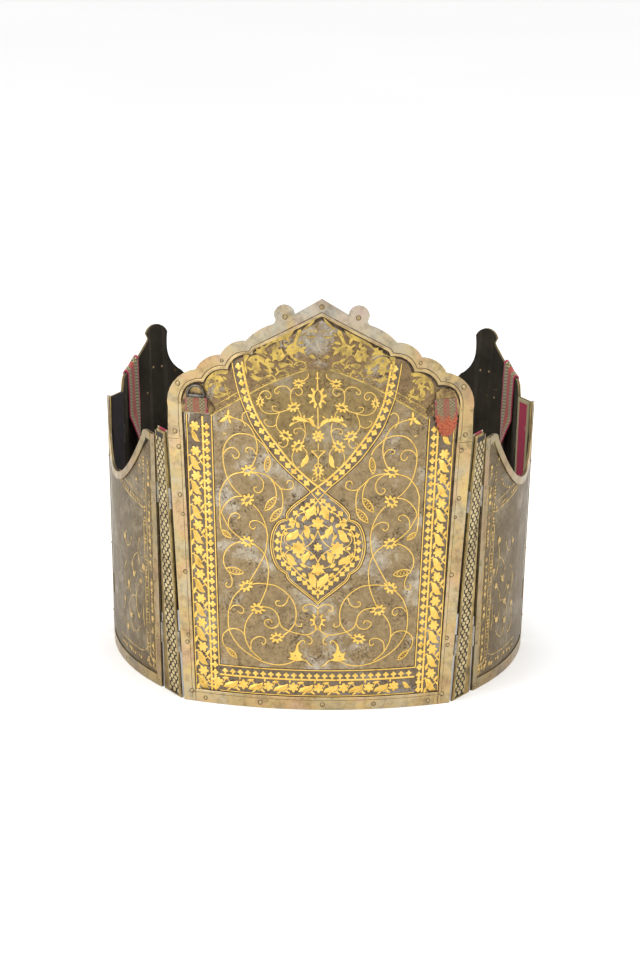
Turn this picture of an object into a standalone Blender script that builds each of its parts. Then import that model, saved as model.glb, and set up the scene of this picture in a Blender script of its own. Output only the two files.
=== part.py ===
"""A hinged steel cuirass that stands on its hem.

Nine bowed plates make a ring round the torso: one tall plate with a cusped crest, then on each
side a narrow scaled gusset, a side plate with its armhole, a second gusset, and a half plate with
a shoulder horn. The two half plates meet at the middle. Eight hinge lines join the nine plates.

Metres, +Z up. The tall plate faces -Y, the half plates meet at +Y, and the hem lies at z = 0.
Every plate is made as an armourer makes it: a flat blank is cut out, then bent over a form.
"""
import math
from collections import namedtuple

import bmesh
import bpy
from mathutils import Matrix, Vector

# Sizes of the ring
CHEST_HEIGHT = 0.252
HEM_HALF_WIDTH = 0.2033
CHEST_FLARE = 0.0060
CHEST_HALF_WIDTH = HEM_HALF_WIDTH + CHEST_FLARE
HALF_DEPTH = 0.160

# Bows of the plates: how far each stands out of its chord
FRONT_BOW_HEM = 0.026
FRONT_BOW_CHEST = 0.032
SIDE_BOW = 0.0115
HALF_BOW_HEM = 0.0347
HALF_BOW_CHEST = 0.0367
HALF_LEAN_SHARE = -0.34

# Heights of the plates
CREST_HEIGHT = 0.3915
FRONT_GUSSET_HEIGHT = 0.257
REAR_GUSSET_HEIGHT = 0.248
SIDE_HEIGHT = 0.250
HORN_HEIGHT = 0.306
HORN_BASE_HEIGHT = 0.256
NECKLINE_HEIGHT = 0.205
NECKLINE_SAG_SHARE = -0.04
ARMHOLE_DEPTH = 0.060

# Metal, cloth and clearances
PLATE = 0.0015
BAND = 0.0010
VELVET = 0.0015
WEBBING = 0.0016
GAP = 0.0003
LOOSE_GAP = 0.0009
CLOSING_GAP = 0.0006
LINING_RISE = 0.002

# Bands riveted along the edges
FRONT_RIM_HEM = 0.0110
FRONT_RIM_CHEST = 0.0143
FRONT_RIM_FOOT = 0.0122
RIM_JOINT_HEIGHT = 0.2535
SIDE_BAND = 0.0075
SIDE_FOOT_BAND = 0.0105
ARMHOLE_RIM = 0.0075
REAR_BAND_STOP = 0.038
HALF_RIM = 0.0080
HALF_FOOT_BAND = 0.0105

# Hinges
KNUCKLE_RADIUS = 0.0017
BORE_RADIUS = 0.00115
PIN_RADIUS = 0.0008
TONGUE = 0.0010
HINGE_LENGTH = 0.020
MIDDLE_KNUCKLE = 0.0070
PLATE_SETBACK = 0.0020
LOWER_HINGE_HEIGHT = 0.056
UPPER_HINGE_HEIGHT = 0.195
REAR_UPPER_HINGE_HEIGHT = 0.204
TONGUE_HOLD = 0.004

# Shoulder fittings and woven straps
FITTING_WIDTH = 0.030
FITTING_HEIGHT = 0.0265
FITTING_SHEET = 0.0012
FITTING_FOOT_HEIGHT = 0.2795
STRAP_ON_FITTING_SHARE = 0.44
BAR_ON_FITTING_SHARE = 0.64
RING_ROD = 0.0012
RING_WIDTH = 0.0155
RING_RISE = 0.0095
STRAP_WIDTH = 0.020
STRAP_PLACE = 0.027
STUB_LENGTH = 0.0145
STUB_TAIL = 0.036
STUB_ROWS = 8
STUB_WORN_SHARE = 0.45
STUB_WEAR_POWER = 1.5

# How finely round things are made
ARC_STEPS = 8
ROUND_SIDES = 10
RING_SIDES = 10
BAR_STEPS = 4
FRONT_COLUMNS = 18
SIDE_COLUMNS = 12
HALF_COLUMNS = 24
SHARP_ANGLE = math.radians(30)

# A hinge line leans: its plan place at the hem and at chest height,
# as shares of the half widths and of the half depth
Line = namedtuple("Line", "hem_x hem_y chest_x chest_y")
HINGE_LINES = {
    "front": Line(0.622, -0.8375, 0.678, -0.800),
    "side_front": Line(0.718, -0.641, 0.729, -0.669),
    "side_rear": Line(1.000, 0.328, 1.000, 0.328),
    "half": Line(0.954, 0.525, 0.946, 0.4875),
    "closing": Line(0.000, 1.000, 0.000, 1.000),
}

# A contour goes from corner to corner. Places are shares of a plate's size, and rise is how far
# the stretch that ends at the corner swells outwards, as a share of its length
Corner = namedtuple("Corner", "across height rise")
CREST = [
    Corner(0.000, 1.000, 0.00),
    Corner(0.173, 0.896, 0.00),
    Corner(0.309, 0.889, 0.474),
    Corner(0.297, 0.857, 0.00),
    Corner(0.324, 0.821, -0.15),
    Corner(0.493, 0.705, 0.07),
    Corner(0.655, 0.601, 0.157),
    Corner(0.8165, 0.491, 0.15),
    Corner(1.000, 0.215, 0.21),
    Corner(1.000, 0.000, 0.00),
]
CREST_INSIDE = [
    Corner(0.000, 0.8925, 0.00),
    Corner(0.4367, 0.654, 0.00),
    Corner(0.4453, 0.620, 0.00),
    Corner(0.605, 0.510, 0.215),
    Corner(0.764, 0.412, 0.177),
    Corner(0.911, 0.258, 0.257),
]
SHOULDER = [
    Corner(0.033, 0.11, 0.06),
    Corner(0.115, 0.26, 0.05),
    Corner(0.205, 0.60, -0.06),
    Corner(0.228, 0.74, -0.05),
    Corner(0.216, 0.84, 0.00),
    Corner(0.322, 0.85, 0.34),
    Corner(0.319, 0.50, -0.03),
    Corner(0.383, 0.08, -0.12),
    Corner(0.620, -0.60, -0.08),
]
FITTING = [
    Corner(0.00, 0.00, 0.00),
    Corner(0.04, 0.55, -0.08),
    Corner(0.16, 0.90, 0.00),
    Corner(0.30, 1.00, 0.12),
    Corner(0.60, 1.00, 0.08),
    Corner(0.72, 0.88, 0.12),
    Corner(0.72, 0.52, 0.00),
    Corner(1.00, 0.18, -0.14),
    Corner(0.94, 0.04, 0.20),
]

# The armhole's horns and lowest point, as shares of the side plate's width. Each leg climbs a
# share of the armhole's depth by a power curve and ends in a rounded horn
HORN_FRONT_SHARE = 0.150
HORN_REAR_SHARE = 0.935
ARMHOLE_LOWEST_SHARE = 0.630
LEG_CLIMB_SHARE = 0.92
FRONT_LEG_POWER = 2.0
REAR_LEG_POWER = 2.6
LEG_STEPS = 8
HORN_LIFT = 0.0015
HORN_ROUND_FRONT_SHARE = 0.045
HORN_ROUND_REAR_SHARE = 0.015
HORN_SWELL_FRONT_SHARE = 0.20
HORN_SWELL_REAR_SHARE = 0.12

# A woven strap: how far each station lies below the edge that it crosses, how far out of the
# plate, how far it is turned about its own middle line, and its width as a share of the strap's
Fold = namedtuple("Fold", "drop out turn width")
STRAP_OUTSIDE = 0.034
STRAP_OUTSIDE_ROWS = 3
STRAP_INSIDE = 0.098
STRAP_SWING = 0.0020
STRAP_TURN = math.radians(62)
STRAP_TURN_START_SHARE = 0.45
STRAP_ROWS = 14
STRAP_COLUMNS = 4


def remove_all():
    for thing in list(bpy.data.objects):
        bpy.data.objects.remove(thing)


def finish_of(name, colour, roughness, metallic):
    """A plain Principled material with the piece's colour."""
    material = bpy.data.materials.new(name)
    material.use_nodes = True
    shader = material.node_tree.nodes["Principled BSDF"]
    shader.inputs["Base Color"].default_value = (*colour, 1.0)
    shader.inputs["Roughness"].default_value = roughness
    shader.inputs["Metallic"].default_value = metallic
    return material


def object_from(shape, name, finish):
    """Turn a bmesh into a smooth-shaded object that keeps its sharp edges."""
    mesh = bpy.data.meshes.new(name)
    shape.to_mesh(mesh)
    shape.free()
    mesh.shade_smooth()
    mesh.set_sharp_from_angle(angle=SHARP_ANGLE)
    mesh.materials.append(FINISHES[finish])
    thing = bpy.data.objects.new(name, mesh)
    bpy.context.scene.collection.objects.link(thing)
    return thing


def plan_of(line, height):
    """A hinge line's plan point at a height; it goes on straight above the chest."""
    share = height / CHEST_HEIGHT
    hem = Vector((line.hem_x * HEM_HALF_WIDTH, line.hem_y * HALF_DEPTH))
    chest = Vector((line.chest_x * CHEST_HALF_WIDTH, line.chest_y * HALF_DEPTH))
    return hem.lerp(chest, share)


def mirrored(line):
    return Line(-line.hem_x, line.hem_y, -line.chest_x, line.chest_y)


class Form:
    """What a plate is bent over: in plan, a parabola from one hinge line to another.

    Places on it are read as on the flat blank: across from the first hinge line, height, and out
    of the plate's middle surface. The left side of the ring is the mirror of the right.
    """

    WALK = 48

    def __init__(self, first, second, bow_hem=0.0, bow_chest=None, lean=0.0, side=1, drawn=False):
        self.lines = first, second
        self.bows = bow_hem, bow_hem if bow_chest is None else bow_chest
        self.lean = lean
        self.side = side
        self.drawn = drawn

    def curve(self, height):
        """The parabola's start, control point and end at a height."""
        start, end = (plan_of(line, height) for line in self.lines)
        chord = end - start
        outward = Vector((chord.y, -chord.x)).normalized()
        share = height / CHEST_HEIGHT
        bow = self.bows[0] + (self.bows[1] - self.bows[0]) * share
        return start, (start + end) / 2 + outward * 2 * bow + chord * self.lean, end

    @staticmethod
    def point(curve, share):
        start, control, end = curve
        return start.lerp(control, share).lerp(control.lerp(end, share), share)

    def width(self, height):
        """The plate's width from hinge line to hinge line, measured along its bow."""
        curve = self.curve(height)
        if self.drawn:
            return (curve[2] - curve[0]).length
        steps = [self.point(curve, step / self.WALK) for step in range(self.WALK + 1)]
        return sum((b - a).length for a, b in zip(steps, steps[1:]))

    def share_at(self, curve, across):
        """The share of the parabola where a tape laid along it reads that distance."""
        if self.drawn:
            return across / (curve[2] - curve[0]).length
        last, walked = curve[0], 0.0
        for step in range(1, self.WALK + 1):
            here = self.point(curve, step / self.WALK)
            length = (here - last).length
            if walked + length >= across or step == self.WALK:
                return (step - 1 + (across - walked) / length) / self.WALK
            last, walked = here, walked + length

    def heading(self, across, height):
        """The plate's plan direction there, away from its first hinge line."""
        curve = self.curve(height)
        share = self.share_at(curve, across)
        way = (curve[1] - curve[0]).lerp(curve[2] - curve[1], share).normalized()
        return Vector((self.side * way.x, way.y, 0.0))

    def at(self, across, height, out=0.0):
        curve = self.curve(height)
        share = self.share_at(curve, across)
        place = self.point(curve, share)
        way = (curve[1] - curve[0]).lerp(curve[2] - curve[1], share).normalized()
        return Vector((self.side * (place.x + way.y * out), place.y - way.x * out, height))


def arc(start, end, rise):
    """The points after start along an arc to end that swells by a share of its length."""
    if not rise:
        return [end]
    chord = end - start
    square = Vector((-chord.y, chord.x))
    half = 2 * math.atan(2 * rise)
    points = []
    for step in range(1, ARC_STEPS + 1):
        angle = half * (2 * step / ARC_STEPS - 1)
        along = (1 + math.sin(angle) / math.sin(half)) / 2
        aside = (math.cos(angle) - math.cos(half)) / math.sin(half) / 2
        points.append(start + chord * along + square * aside)
    return points


def contour(corners, place):
    """The points of a contour table, with place(corner) giving each corner's own point."""
    points = [place(corners[0])]
    for corner in corners[1:]:
        points += arc(points[-1], place(corner), corner.rise)
    return points


def distance_to(line, point):
    """How far a point lies from an open line."""
    nearest = math.inf
    for a, b in zip(line, line[1:]):
        share = (point - a).dot(b - a) / (b - a).length_squared
        foot = a.lerp(b, min(1.0, max(0.0, share)))
        nearest = min(nearest, (point - foot).length)
    return nearest


def inset_line(points, distance):
    """The same open line moved to its right by a distance, without the loops of tight corners."""
    sharpest, near = 0.5, 0.98
    moved = []
    for index, point in enumerate(points):
        before = point - points[index - 1] if index else points[1] - point
        after = points[index + 1] - point if index + 1 < len(points) else before
        sides = [Vector((way.y, -way.x)).normalized() for way in (before, after)]
        mitre = (sides[0] + sides[1]).normalized()
        moved.append(point + mitre * distance / max(mitre.dot(sides[0]), sharpest))
    return [point for point in moved if distance_to(points, point) > near * distance]


def face_outwards(shape):
    bmesh.ops.recalc_face_normals(shape, faces=shape.faces[:])
    if shape.calc_volume(signed=True) < 0:
        bmesh.ops.reverse_faces(shape, faces=shape.faces[:])


def blank(name, form, outline, inner, thickness, finish, columns=1):
    """Cut a flat blank to an outline, score it where it is bent, and bend it over the form."""
    shape = bmesh.new()
    shape.faces.new([shape.verts.new((point.x, point.y, inner)) for point in outline])
    width = form.width(CHEST_HEIGHT)
    for step in range(1, columns):
        whole = shape.verts[:] + shape.edges[:] + shape.faces[:]
        scored = (width * step / columns, 0, 0)
        bmesh.ops.bisect_plane(shape, geom=whole, plane_co=scored, plane_no=(1, 0, 0))
    grown = bmesh.ops.extrude_face_region(shape, geom=shape.faces[:])["geom"]
    raised = [item for item in grown if isinstance(item, bmesh.types.BMVert)]
    bmesh.ops.translate(shape, verts=raised, vec=(0, 0, thickness))
    for vert in shape.verts:
        vert.co = form.at(*vert.co)
    face_outwards(shape)
    return object_from(shape, name, finish)


def panel(form, foot, top, start=0.0, stop=0.0):
    """A plain four-sided outline between two heights, set back from both hinge lines."""
    return [
        Vector((start, foot)),
        Vector((form.width(foot) - stop, foot)),
        Vector((form.width(top) - stop, top)),
        Vector((start, top)),
    ]


def turned(profile, matrix, shape):
    """Spin a profile of (radius, height) points round the Z axis, then place it."""
    start = [shape.verts.new((radius, 0, height)) for radius, height in profile]
    edges = [shape.edges.new(pair) for pair in zip(start, start[1:])]
    if profile[0][0]:
        edges.append(shape.edges.new((start[-1], start[0])))
    before = set(shape.verts) - set(start)
    bmesh.ops.spin(
        shape, geom=start + edges, axis=(0, 0, 1), cent=(0, 0, 0),
        steps=ROUND_SIDES, angle=2 * math.pi, use_merge=True,
    )
    fresh = [vert for vert in shape.verts if vert not in before]
    bmesh.ops.remove_doubles(shape, verts=fresh, dist=1e-6)
    fresh = [vert for vert in shape.verts if vert not in before]
    bmesh.ops.transform(shape, matrix=matrix, verts=fresh)


def guide(shape, name):
    """A hidden helper for a Boolean, which isn't a piece itself."""
    bmesh.ops.recalc_face_normals(shape, faces=shape.faces[:])
    mesh = bpy.data.meshes.new(name)
    shape.to_mesh(mesh)
    shape.free()
    thing = bpy.data.objects.new(name, mesh)
    bpy.context.scene.collection.objects.link(thing)
    thing.hide_render = True
    thing.display_type = "WIRE"
    return thing


def solder(plate, tool):
    modifier = plate.modifiers.new(tool.name, "BOOLEAN")
    modifier.operation = "UNION"
    modifier.solver = "EXACT"
    modifier.object = tool


def hinge_frame(form, at_end, height):
    """A hinge's own axes: Z up its leaning pin and X into the plate it is soldered to."""
    line = form.lines[1 if at_end else 0]
    foot, top = plan_of(line, height), plan_of(line, height + HINGE_LENGTH)
    up = Vector((form.side * (top - foot).x, (top - foot).y, HINGE_LENGTH)).normalized()
    across = form.width(height) - PLATE_SETBACK if at_end else PLATE_SETBACK
    into = form.heading(across, height) * (-1 if at_end else 1)
    into = (into - up * into.dot(up)).normalized()
    aside = up.cross(into)
    turn = Matrix((into, aside, up)).transposed().to_4x4()
    return Matrix.Translation((form.side * foot.x, foot.y, height)) @ turn


def add_tongue(shape, frame, low, high, near):
    """The strip of metal that holds a knuckle to the edge of its plate."""
    far = PLATE_SETBACK + TONGUE_HOLD
    size = Matrix.Diagonal((far - near, TONGUE, high - low, 1))
    middle = Matrix.Translation(((far + near) / 2, 0, (high + low) / 2))
    bmesh.ops.create_cube(shape, size=1, matrix=frame @ middle @ size)


def add_hinges(plate, form, ends, with_pin):
    """Solder hinge halves to a plate: outer knuckles with their pin, or the bored middle ones."""
    tongues, knuckles = bmesh.new(), bmesh.new()
    half, middle = HINGE_LENGTH / 2, MIDDLE_KNUCKLE / 2
    for at_end, upper in ends:
        for height in (LOWER_HINGE_HEIGHT, upper):
            frame = hinge_frame(form, at_end, height)
            if with_pin:
                inner = middle + GAP
                turned([(0, -half), (KNUCKLE_RADIUS, -half), (KNUCKLE_RADIUS, -inner),
                        (PIN_RADIUS, -inner), (PIN_RADIUS, inner), (KNUCKLE_RADIUS, inner),
                        (KNUCKLE_RADIUS, half), (0, half)], frame, knuckles)
                add_tongue(tongues, frame, -half, -inner, 0)
                add_tongue(tongues, frame, inner, half, 0)
            else:
                turned([(BORE_RADIUS, -middle), (KNUCKLE_RADIUS, -middle),
                        (KNUCKLE_RADIUS, middle), (BORE_RADIUS, middle)], frame, knuckles)
                add_tongue(tongues, frame, -middle, middle, (BORE_RADIUS + KNUCKLE_RADIUS) / 2)
    solder(plate, guide(tongues, plate.name + ".tongues"))
    solder(plate, guide(knuckles, plate.name + ".knuckles"))


def front_form():
    line = HINGE_LINES["front"]
    return Form(mirrored(line), line, FRONT_BOW_HEM, FRONT_BOW_CHEST, drawn=True)


def on_front(x, height):
    """A point of the front blank, given as seen from the front with x from the middle."""
    return Vector((x + FRONT.width(height) / 2, height))


def front_half_width(height):
    return FRONT.width(min(height, CHEST_HEIGHT)) / 2 - PLATE_SETBACK


def crest_place(corner):
    """A crest corner's point, by the plate's half width and the crest's rise over the chest."""
    half = front_half_width(CHEST_HEIGHT)
    rise = CREST_HEIGHT - CHEST_HEIGHT
    return Vector((corner.across * half, CHEST_HEIGHT + corner.height * rise))


def both_sides(points):
    """A right-hand line of the front, from the middle outwards, with its mirror before it."""
    left = [Vector((-point.x, point.y)) for point in reversed(points[1:])]
    return left + points


def make_front():
    """The tall plate, its riveted rims and the two shoulder fittings."""
    half_hem = front_half_width(0)
    top = both_sides(contour(CREST, crest_place))
    outline = top + [Vector((half_hem, 0)), Vector((-half_hem, 0))]
    outline = [on_front(*point) for point in outline]
    plate = blank("front_plate", FRONT, outline, -PLATE / 2, PLATE, "steel", FRONT_COLUMNS)
    ends = [(False, UPPER_HINGE_HEIGHT), (True, UPPER_HINGE_HEIGHT)]
    add_hinges(plate, FRONT, ends, with_pin=True)

    joint = RIM_JOINT_HEIGHT
    edge = front_half_width(joint)
    inner_x = edge - FRONT_RIM_CHEST
    outside = contour(CREST[:-1], crest_place) + [Vector((edge, joint))]
    inside = contour(CREST_INSIDE, crest_place) + [Vector((inner_x, joint))]
    arch = both_sides(outside) + both_sides(inside)[::-1]
    arch = [on_front(*point) for point in arch]
    on_top = PLATE / 2 + GAP
    blank("front_rim_top", FRONT, arch, on_top, BAND, "rim", FRONT_COLUMNS)

    joint -= GAP
    half = front_half_width(joint)
    for name, sign in (("left", -1), ("right", 1)):
        strip = [(half_hem, 0), (half, joint), (half - FRONT_RIM_CHEST, joint),
                 (half_hem - FRONT_RIM_HEM, 0)]
        strip = [on_front(sign * x, height) for x, height in strip]
        blank("front_rim_" + name, FRONT, strip, on_top, BAND, "rim", FRONT_COLUMNS)
    foot, foot_half = FRONT_RIM_FOOT, half_hem - FRONT_RIM_HEM - GAP
    taper = (FRONT_RIM_CHEST - FRONT_RIM_HEM) * foot / CHEST_HEIGHT
    foot_top = front_half_width(foot) - FRONT_RIM_HEM - taper - GAP
    strip = [(-foot_half, 0), (foot_half, 0), (foot_top, foot), (-foot_top, foot)]
    strip = [on_front(*point) for point in strip]
    blank("front_rim_bottom", FRONT, strip, on_top, BAND, "rim", FRONT_COLUMNS)

    for name, sign in (("left", -1), ("right", 1)):
        make_fitting(name, sign)


def fitting_middle():
    """The x of the strap's middle on a shoulder fitting, clear of the rim's inner edge."""
    rim_edge = CREST_INSIDE[-1].across * front_half_width(CHEST_HEIGHT)
    return rim_edge - LOOSE_GAP - STRAP_ON_FITTING_SHARE * FITTING_WIDTH


def make_fitting(name, sign):
    """A bell-shaped sheet, the strap's worn end, and on the left the frame that held it."""
    sheet = PLATE / 2 + GAP
    middle = fitting_middle()
    outer = middle + STRAP_ON_FITTING_SHARE * FITTING_WIDTH

    def place(corner):
        x = outer - corner.across * FITTING_WIDTH
        return Vector((x, FITTING_FOOT_HEIGHT + corner.height * FITTING_HEIGHT))

    outline = [on_front(sign * point.x, point.y) for point in contour(FITTING, place)]
    blank("shoulder_plate_" + name, FRONT, outline, sheet, FITTING_SHEET, "gilt", FRONT_COLUMNS)
    over = sheet + FITTING_SHEET + GAP
    bar_height = FITTING_FOOT_HEIGHT + BAR_ON_FITTING_SHARE * FITTING_HEIGHT
    if sign < 0:
        make_ring("shoulder_ring_" + name, sign * middle, bar_height, over + RING_ROD)
        top, length, worn = bar_height - RING_ROD - GAP, STUB_LENGTH, 1.0
    else:
        top, length, worn = bar_height - GAP, STUB_TAIL, STUB_WORN_SHARE

    stations = []
    for step in range(STUB_ROWS + 1):
        share = step / STUB_ROWS
        narrow = (1 - worn) * max(0, 2 * share - 1) ** STUB_WEAR_POWER
        stations.append(Fold(length * share, over + WEBBING / 2, 0, 1 - narrow))
    straight = on_front(sign * middle, top)
    make_strap("strap_stub_" + name, FRONT, straight.x, stations, lambda across: straight.y)


def make_ring(name, middle, height, out):
    """A closed D-shaped frame of round rod: a straight bar with an arch over it."""
    half = RING_WIDTH / 2
    left = middle - half
    bar = [Vector((left + RING_WIDTH * step / BAR_STEPS, height)) for step in range(BAR_STEPS + 1)]
    arch = []
    for step in range(1, RING_SIDES):
        angle = math.pi * step / RING_SIDES
        arch.append(Vector((middle + half * math.cos(angle), height + RING_RISE * math.sin(angle))))
    line = bpy.data.curves.new(name, "CURVE")
    line.dimensions = "3D"
    line.bevel_depth = RING_ROD
    line.bevel_resolution = 2
    spline = line.splines.new("POLY")
    spline.points.add(len(bar + arch) - 1)
    for point, spot in zip(spline.points, bar + arch):
        point.co = (*FRONT.at(*on_front(*spot), out), 1)
    spline.use_cyclic_u = True
    line.materials.append(FINISHES["dark"])
    thing = bpy.data.objects.new(name, line)
    bpy.context.scene.collection.objects.link(thing)


def make_strap(name, form, middle, stations, edge):
    """A woven band laid over a form, through its stations, from the edge's own height down."""
    shape = bmesh.new()
    rows = len(stations) - 1
    bmesh.ops.create_grid(shape, x_segments=STRAP_COLUMNS, y_segments=rows, size=0.5)
    for vert in shape.verts:
        station = stations[round((0.5 - vert.co.y) * rows)]
        aside = vert.co.x * STRAP_WIDTH * station.width
        across = middle + aside * math.cos(station.turn)
        out = station.out - aside * math.sin(station.turn)
        vert.co = form.at(across, edge(across) - station.drop, out)
    thing = object_from(shape, name, "webbing")
    wall = thing.modifiers.new("wall", "SOLIDIFY")
    wall.thickness = WEBBING
    wall.offset = 0
    wall.use_even_offset = True


def armhole(form):
    """The side plate's upper edge from its front corner to its rear corner."""
    width = form.width(SIDE_HEIGHT)
    low = SIDE_HEIGHT - ARMHOLE_DEPTH
    shoulder = ARMHOLE_DEPTH * LEG_CLIMB_SHARE
    start_share = HORN_FRONT_SHARE - HORN_ROUND_FRONT_SHARE
    horn_start = Vector((start_share * width, SIDE_HEIGHT + HORN_LIFT))
    horn_end = Vector(((HORN_REAR_SHARE + HORN_ROUND_REAR_SHARE) * width, SIDE_HEIGHT))
    legs = [(HORN_FRONT_SHARE, FRONT_LEG_POWER), (HORN_REAR_SHARE, REAR_LEG_POWER)]
    lines = []
    for horn, power in legs:
        line = []
        for step in range(LEG_STEPS + 1):
            share = 1 - step / LEG_STEPS
            across = ARMHOLE_LOWEST_SHARE + (horn - ARMHOLE_LOWEST_SHARE) * share
            line.append(Vector((across * width, low + shoulder * share**power)))
        lines.append(line)
    front, rear = lines[0], lines[1][::-1]
    points = [Vector((PLATE_SETBACK, SIDE_HEIGHT)), horn_start]
    points += arc(horn_start, front[0], HORN_SWELL_FRONT_SHARE) + front[1:] + rear[1:]
    points += arc(rear[-1], horn_end, HORN_SWELL_REAR_SHARE)
    return points + [Vector((width - PLATE_SETBACK, SIDE_HEIGHT))]


def make_side(name, side):
    """One side plate with its armhole, and the bands riveted along its edges."""
    lines = HINGE_LINES["side_front"], HINGE_LINES["side_rear"]
    form = Form(*lines, SIDE_BOW, side=side)
    top = armhole(form)
    right = form.width(0) - PLATE_SETBACK
    outline = [Vector((PLATE_SETBACK, 0)), *top, Vector((right, 0))]
    plate = blank("side_plate_" + name, form, outline, -PLATE / 2, PLATE, "steel", SIDE_COLUMNS)
    ends = [(False, UPPER_HINGE_HEIGHT), (True, REAR_UPPER_HINGE_HEIGHT)]
    add_hinges(plate, form, ends, with_pin=True)

    on_top = PLATE / 2 + GAP
    band_end = PLATE_SETBACK + SIDE_BAND
    strip = panel(form, 0, SIDE_HEIGHT, PLATE_SETBACK)
    for point in strip[1:3]:
        point.x = band_end
    blank("side_band_front_" + name, form, strip, on_top, BAND, "rim", SIDE_COLUMNS)
    strip = panel(form, 0, SIDE_HEIGHT - REAR_BAND_STOP, 0, PLATE_SETBACK)
    strip[0].x = strip[1].x - SIDE_BAND
    strip[3].x = strip[2].x - SIDE_BAND
    blank("side_band_rear_" + name, form, strip, on_top, BAND, "rim", SIDE_COLUMNS)
    strip = panel(form, 0, SIDE_FOOT_BAND, band_end + GAP, PLATE_SETBACK + SIDE_BAND + GAP)
    blank("side_band_bottom_" + name, form, strip, on_top, BAND, "rim", SIDE_COLUMNS)

    start = band_end + GAP
    edge = [Vector((start, SIDE_HEIGHT))] + top[1:]
    inside = inset_line(edge, ARMHOLE_RIM)
    for point in inside:
        point.x = min(max(point.x, start), edge[-1].x)
    inside[0].x = start
    rim = edge + inside[::-1]
    blank("side_armhole_rim_" + name, form, rim, on_top, BAND, "rim", SIDE_COLUMNS)


def make_gusset(name, side, where, lines, height, upper, lining_rise):
    """A narrow flat plate between two hinge lines, with velvet on its inner face."""
    form = Form(*(HINGE_LINES[line] for line in lines), side=side)
    outline = panel(form, 0, height, PLATE_SETBACK, PLATE_SETBACK)
    plate = blank(f"{where}_gusset_{name}", form, outline, -PLATE / 2, PLATE, "brass")
    add_hinges(plate, form, [(False, upper), (True, upper)], with_pin=False)
    inset = PLATE_SETBACK + LOOSE_GAP
    outline = panel(form, GAP, height + lining_rise, inset, inset)
    inner = -PLATE / 2 - GAP - VELVET
    blank(f"{where}_gusset_lining_{name}", form, outline, inner, VELVET, "velvet")


def make_half(name, side):
    """One half plate with its shoulder horn, its rims and the strap thrown over its edge."""
    lines = HINGE_LINES["half"], HINGE_LINES["closing"]
    form = Form(*lines, HALF_BOW_HEM, HALF_BOW_CHEST, lean=HALF_LEAN_SHARE, side=side)
    chest = form.width(CHEST_HEIGHT)
    rise = HORN_HEIGHT - CHEST_HEIGHT

    def place(corner):
        return Vector((corner.across * chest, CHEST_HEIGHT + corner.height * rise))

    start = Vector((PLATE_SETBACK, REAR_GUSSET_HEIGHT))
    last = Vector((form.width(NECKLINE_HEIGHT) - CLOSING_GAP, NECKLINE_HEIGHT))
    top = [start, place(SHOULDER[0])]
    top += contour(SHOULDER, place)[1:]
    top += arc(top[-1], last, NECKLINE_SAG_SHARE)
    right = form.width(0) - CLOSING_GAP
    outline = [Vector((PLATE_SETBACK, 0)), *top, Vector((right, 0))]
    plate = blank("rear_half_" + name, form, outline, -PLATE / 2, PLATE, "steel", HALF_COLUMNS)
    add_hinges(plate, form, [(False, REAR_UPPER_HINGE_HEIGHT)], with_pin=True)

    on_top = PLATE / 2 + GAP
    inside = [point for point in inset_line(top, HALF_RIM) if point.y < HORN_BASE_HEIGHT]
    inside[0].x = top[0].x
    inside[-1].x = top[-1].x
    rim = top + inside[::-1]
    blank("rear_half_rim_top_" + name, form, rim, on_top, BAND, "rim", HALF_COLUMNS)
    low_left, low_right = inside[0].y - GAP, inside[-1].y - GAP
    frame = [
        Vector((PLATE_SETBACK, low_left)), Vector((PLATE_SETBACK, 0)), Vector((right, 0)),
        Vector((form.width(low_right) - CLOSING_GAP, low_right)),
        Vector((form.width(low_right) - CLOSING_GAP - HALF_RIM, low_right - GAP)),
        Vector((right - HALF_RIM, HALF_FOOT_BAND)),
        Vector((PLATE_SETBACK + HALF_RIM, HALF_FOOT_BAND)),
        Vector((PLATE_SETBACK + HALF_RIM, low_left)),
    ]
    blank("rear_half_rim_" + name, form, frame, on_top, BAND, "rim", HALF_COLUMNS)

    outside = on_top + BAND + GAP + WEBBING / 2
    inside = -PLATE / 2 - GAP - WEBBING / 2
    centre, radius = (outside + inside) / 2, (outside - inside) / 2
    rows = STRAP_OUTSIDE_ROWS
    stations = [Fold(STRAP_OUTSIDE * (1 - step / rows), outside, 0, 1) for step in range(rows)]
    for step in range(ARC_STEPS + 1):
        angle = math.pi * step / ARC_STEPS
        stations.append(Fold(-radius * math.sin(angle), centre + radius * math.cos(angle), 0, 1))
    for step in range(1, STRAP_ROWS + 1):
        hung = step / STRAP_ROWS
        turn = STRAP_TURN * max(0, hung - STRAP_TURN_START_SHARE) / (1 - STRAP_TURN_START_SHARE)
        away = inside - STRAP_SWING * hung - STRAP_WIDTH / 2 * math.sin(turn)
        stations.append(Fold(STRAP_INSIDE * hung, away, -turn, 1))

    def edge(across):
        """The height of the half's upper edge where the strap crosses it."""
        for a, b in zip(top, top[1:]):
            if a.x <= across <= b.x:
                return a.y + (b.y - a.y) * (across - a.x) / (b.x - a.x)
        return top[0].y

    make_strap("strap_" + name, form, STRAP_PLACE, stations, edge)


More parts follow.
